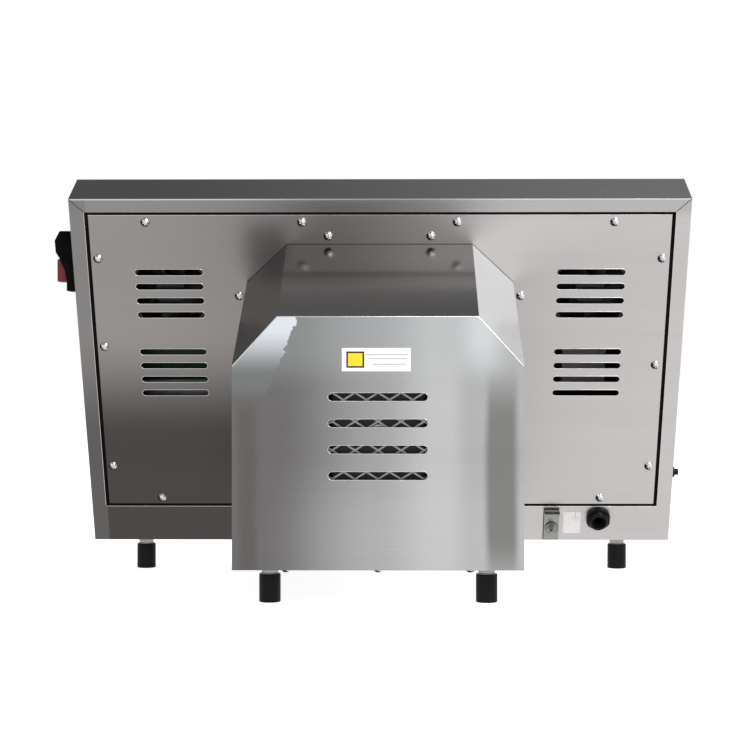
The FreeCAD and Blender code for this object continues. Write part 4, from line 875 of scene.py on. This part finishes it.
def make_floor():
    """A plain pale floor."""
    shader = Shader("floor")
    grain = shader.noise(shader.place(), scale=3, detail=2)
    shader.join(shader.ramp(grain, (0.3, 0.60), (0.7, 0.62)), shader.surface.inputs["Base Color"])
    shader.surface.inputs["Roughness"].default_value = 0.9
    shader.surface.inputs["Specular IOR Level"].default_value = 0.1
    shader.surface.inputs["Emission Color"].default_value = (1, 1, 1, 1)
    shader.surface.inputs["Emission Strength"].default_value = 0.85
    flat_sheet("floor", 30, 0, shader.material)


def make_reflector():
    """A lit card on the floor that only polished surfaces see: pale, and shaded close to the machine."""
    shader = Shader("reflector")
    x, y, _ = shader.where()
    near = shader.patch(x, y, (0.02, 0.6, 0.1), (-0.3, 0.16, 0.12))
    tone = shader.blend(shader.maths("MULTIPLY", near, 0.25), (0.95, 0.95, 0.95), (0.3, 0.3, 0.3))
    light = shader.add("ShaderNodeEmission")
    shader.join(tone, light.inputs["Color"])
    shader.join(light.outputs["Emission"], shader.tree.nodes["Material Output"].inputs["Surface"])
    card = flat_sheet("reflector", 4, 0.0006, shader.material)
    card.visible_camera = False
    card.visible_diffuse = False
    card.visible_transmission = False
    card.visible_shadow = False


def soft_light(name, place, aim, size, power, seen=True):
    """A square of soft light; reflections show it only where it is seen."""
    data = bpy.data.lights.new(name, "AREA")
    data.shape = "RECTANGLE"
    data.size, data.size_y = size
    data.energy = power
    item = bpy.data.objects.new(name, data)
    item.location = place
    item.rotation_mode = "QUATERNION"
    item.rotation_quaternion = (Vector(aim) - Vector(place)).to_track_quat("-Z", "Y")
    item.visible_glossy = seen
    bpy.context.scene.collection.objects.link(item)


def make_world():
    """A white backdrop; in reflections the room is pale at eye level and darker towards its ceiling."""
    world = bpy.data.worlds.new("studio")
    bpy.context.scene.world = world
    world.use_nodes = True
    tree = world.node_tree
    room = tree.nodes["Background"]
    direction = tree.nodes.new("ShaderNodeTexCoord")
    parts = tree.nodes.new("ShaderNodeSeparateXYZ")
    tree.links.new(direction.outputs["Generated"], parts.inputs["Vector"])
    height = tree.nodes.new("ShaderNodeValToRGB")
    stops = ((0.0, 0.9), (0.55, 0.95), (0.68, 0.6), (0.80, 0.22), (1.0, 0.4))
    while len(height.color_ramp.elements) < len(stops):
        height.color_ramp.elements.new(0.5)
    for element, (at, grey) in zip(height.color_ramp.elements, stops):
        element.position = at
        element.color = (grey, grey, grey, 1)
    rise = tree.nodes.new("ShaderNodeMapRange")
    rise.inputs["From Min"].default_value = -1
    tree.links.new(parts.outputs["Z"], rise.inputs["Value"])
    tree.links.new(rise.outputs["Result"], height.inputs["Fac"])
    tree.links.new(height.outputs["Color"], room.inputs["Color"])
    backdrop = tree.nodes.new("ShaderNodeBackground")
    backdrop.inputs["Color"].default_value = (1, 1, 1, 1)
    rays = tree.nodes.new("ShaderNodeLightPath")
    choice = tree.nodes.new("ShaderNodeMixShader")
    tree.links.new(rays.outputs["Is Camera Ray"], choice.inputs["Fac"])
    tree.links.new(room.outputs["Background"], choice.inputs[1])
    tree.links.new(backdrop.outputs["Background"], choice.inputs[2])
    tree.links.new(choice.outputs["Shader"], tree.nodes["World Output"].inputs["Surface"])


def make_camera():
    """Behind the machine, level with its middle, a little to one side."""
    data = bpy.data.cameras.new("camera")
    data.sensor_width = 36
    data.lens = 89.77
    item = bpy.data.objects.new("camera", data)
    item.location = (MIDDLE_X - 0.019, REAR_EDGE.y + 1.8056, 0.2167)
    item.rotation_euler = (math.radians(90 - 0.37), 0, math.radians(180 + 0.74))
    bpy.context.scene.collection.objects.link(item)
    bpy.context.scene.camera = item


make_floor()
make_reflector()
make_world()
soft_light("key", (-1.3, 1.9, 2.0), (0, 0, 0.2), (1.4, 1.4), 45)
soft_light("fill", (1.6, -1.8, 2.2), (0, 0, 0.2), (1.6, 1.6), 40, seen=False)
make_camera()
bpy.context.scene.view_settings.view_transform = "Standard"
